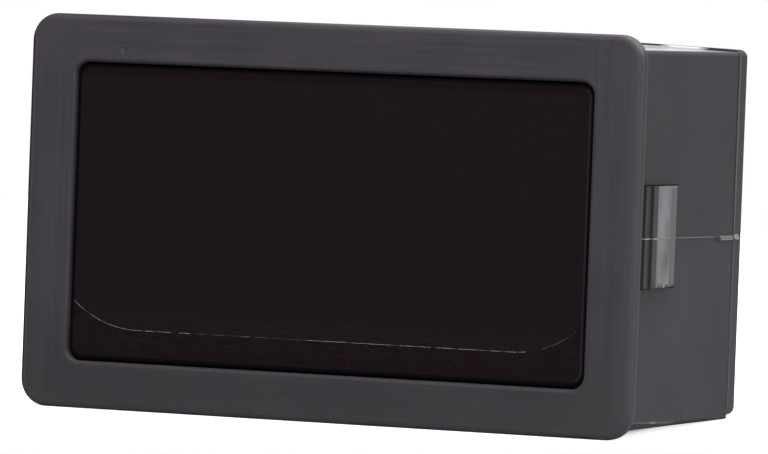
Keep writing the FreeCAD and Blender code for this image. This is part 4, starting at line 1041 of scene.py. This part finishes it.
path_points = left_arc + [(i * EDGE_STEP_MM, FILM_LOW_MM) for i in range(-59, 60)] + arc
rings = []
for i, (x, z) in enumerate(path_points):
    before = path_points[max(i - 1, 0)]
    after = path_points[min(i + 1, len(path_points) - 1)]
    run = Vector((after[0] - before[0], after[1] - before[1])).normalized() * EDGE_HALF_WIDTH_MM
    rings.append([(x - run.y, EDGE_FRONT_MM, z + run.x), (x + run.y, EDGE_FRONT_MM, z - run.x),
                  (x + run.y, EDGE_REAR_MM, z - run.x), (x - run.y, EDGE_REAR_MM, z + run.x)])
cut_edge = solid_between("film_cut_edge", rings)

film_edge, tree = new_material("film_edge")
place = add(tree, "ShaderNodeTexCoord").outputs["Object"]
at_x = add(tree, "ShaderNodeSeparateXYZ", {0: place}).outputs["X"]
level = 0.0
for start, end, strength in GLOWS:
    glow = overlap(tree, band(tree, at_x, start, end, GLOW_SOFT_MM), strength)
    level = add(tree, "ShaderNodeMath", {0: level, 1: glow}, operation="MAXIMUM")
dashes = uneven(tree, place, DASH_MM, (0.42, 0.6), (0.12, 1.0))
close(tree, "#a3a2a5", 0.5, Alpha=overlap(tree, level, dashes), IOR=1.45)
cut_edge.data.materials.append(film_edge)
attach(cut_edge, "meter")
print("film edge follows", len(path_points), "points")

# %% [markdown]
# ## The web at each clip's root
# On the real case each spring tongue grows out of the wall without a gap. The solid model has a hinge there, so a
# skin of the same plastic closes the groove behind it. It lies just under the wall's face, behind the round root,
# and the tongue turns freely in front of it.

# %% Webs behind the clips
WEB_X_MM = (23.044, 23.049)
WEB_Y_MM = (9.70, 9.87)
WEB_HALF_HEIGHT_MM = 3.75

for name, sign in (("clip_web_right", 1), ("clip_web_left", -1)):
    rings = [[(sign * WEB_X_MM[0], y, z) for z in (-WEB_HALF_HEIGHT_MM, WEB_HALF_HEIGHT_MM)]
             + [(sign * WEB_X_MM[1], y, z) for z in (WEB_HALF_HEIGHT_MM, -WEB_HALF_HEIGHT_MM)] for y in WEB_Y_MM]
    web = solid_between(name, rings)
    web.data.materials.append(charcoal_abs)
    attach(web, "meter")
    print(name, "closes the groove")

# %% [markdown]
# ## The end of the torn flash
# The sliver of flash runs on past the body and lies over the cover's edge, where it ends in a small torn point.
# Its outline was read from the photograph, and a thin plate of it lies on the cover's side. Torn plastic is
# rough and whitened, in frays a little coarser than the moulded grain, and one noise gives both their colour and
# their height.

# %% Flash over the cover
TAIL_OUTLINE_MM = [(22.30, -0.16), (22.70, -0.14), (23.10, -0.04), (23.35, -0.10), (23.70, -0.42), (23.30, -0.52),
                   (22.90, -0.44), (22.30, -0.42)]
TAIL_X_MM = (23.04, 23.10)
FRAY_MM = 0.2

tail = solid_between("flash_tail", [[(x, y, z) for y, z in TAIL_OUTLINE_MM] for x in TAIL_X_MM])
torn_abs, tree = new_material("torn_abs")
fray = uneven(tree, add(tree, "ShaderNodeTexCoord").outputs["Object"], FRAY_MM, (0.35, 0.65))
relief = add(tree, "ShaderNodeBump", {"Height": fray, "Strength": 0.5, "Distance": GRAIN_DEPTH_MM * MM})
close(tree, paint(tree, "#7a777b", "#b0adb0", fray), 0.7, relief, IOR=ABS_IOR)
tail.data.materials.append(torn_abs)
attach(tail, "meter")
print("flash ends over the cover")
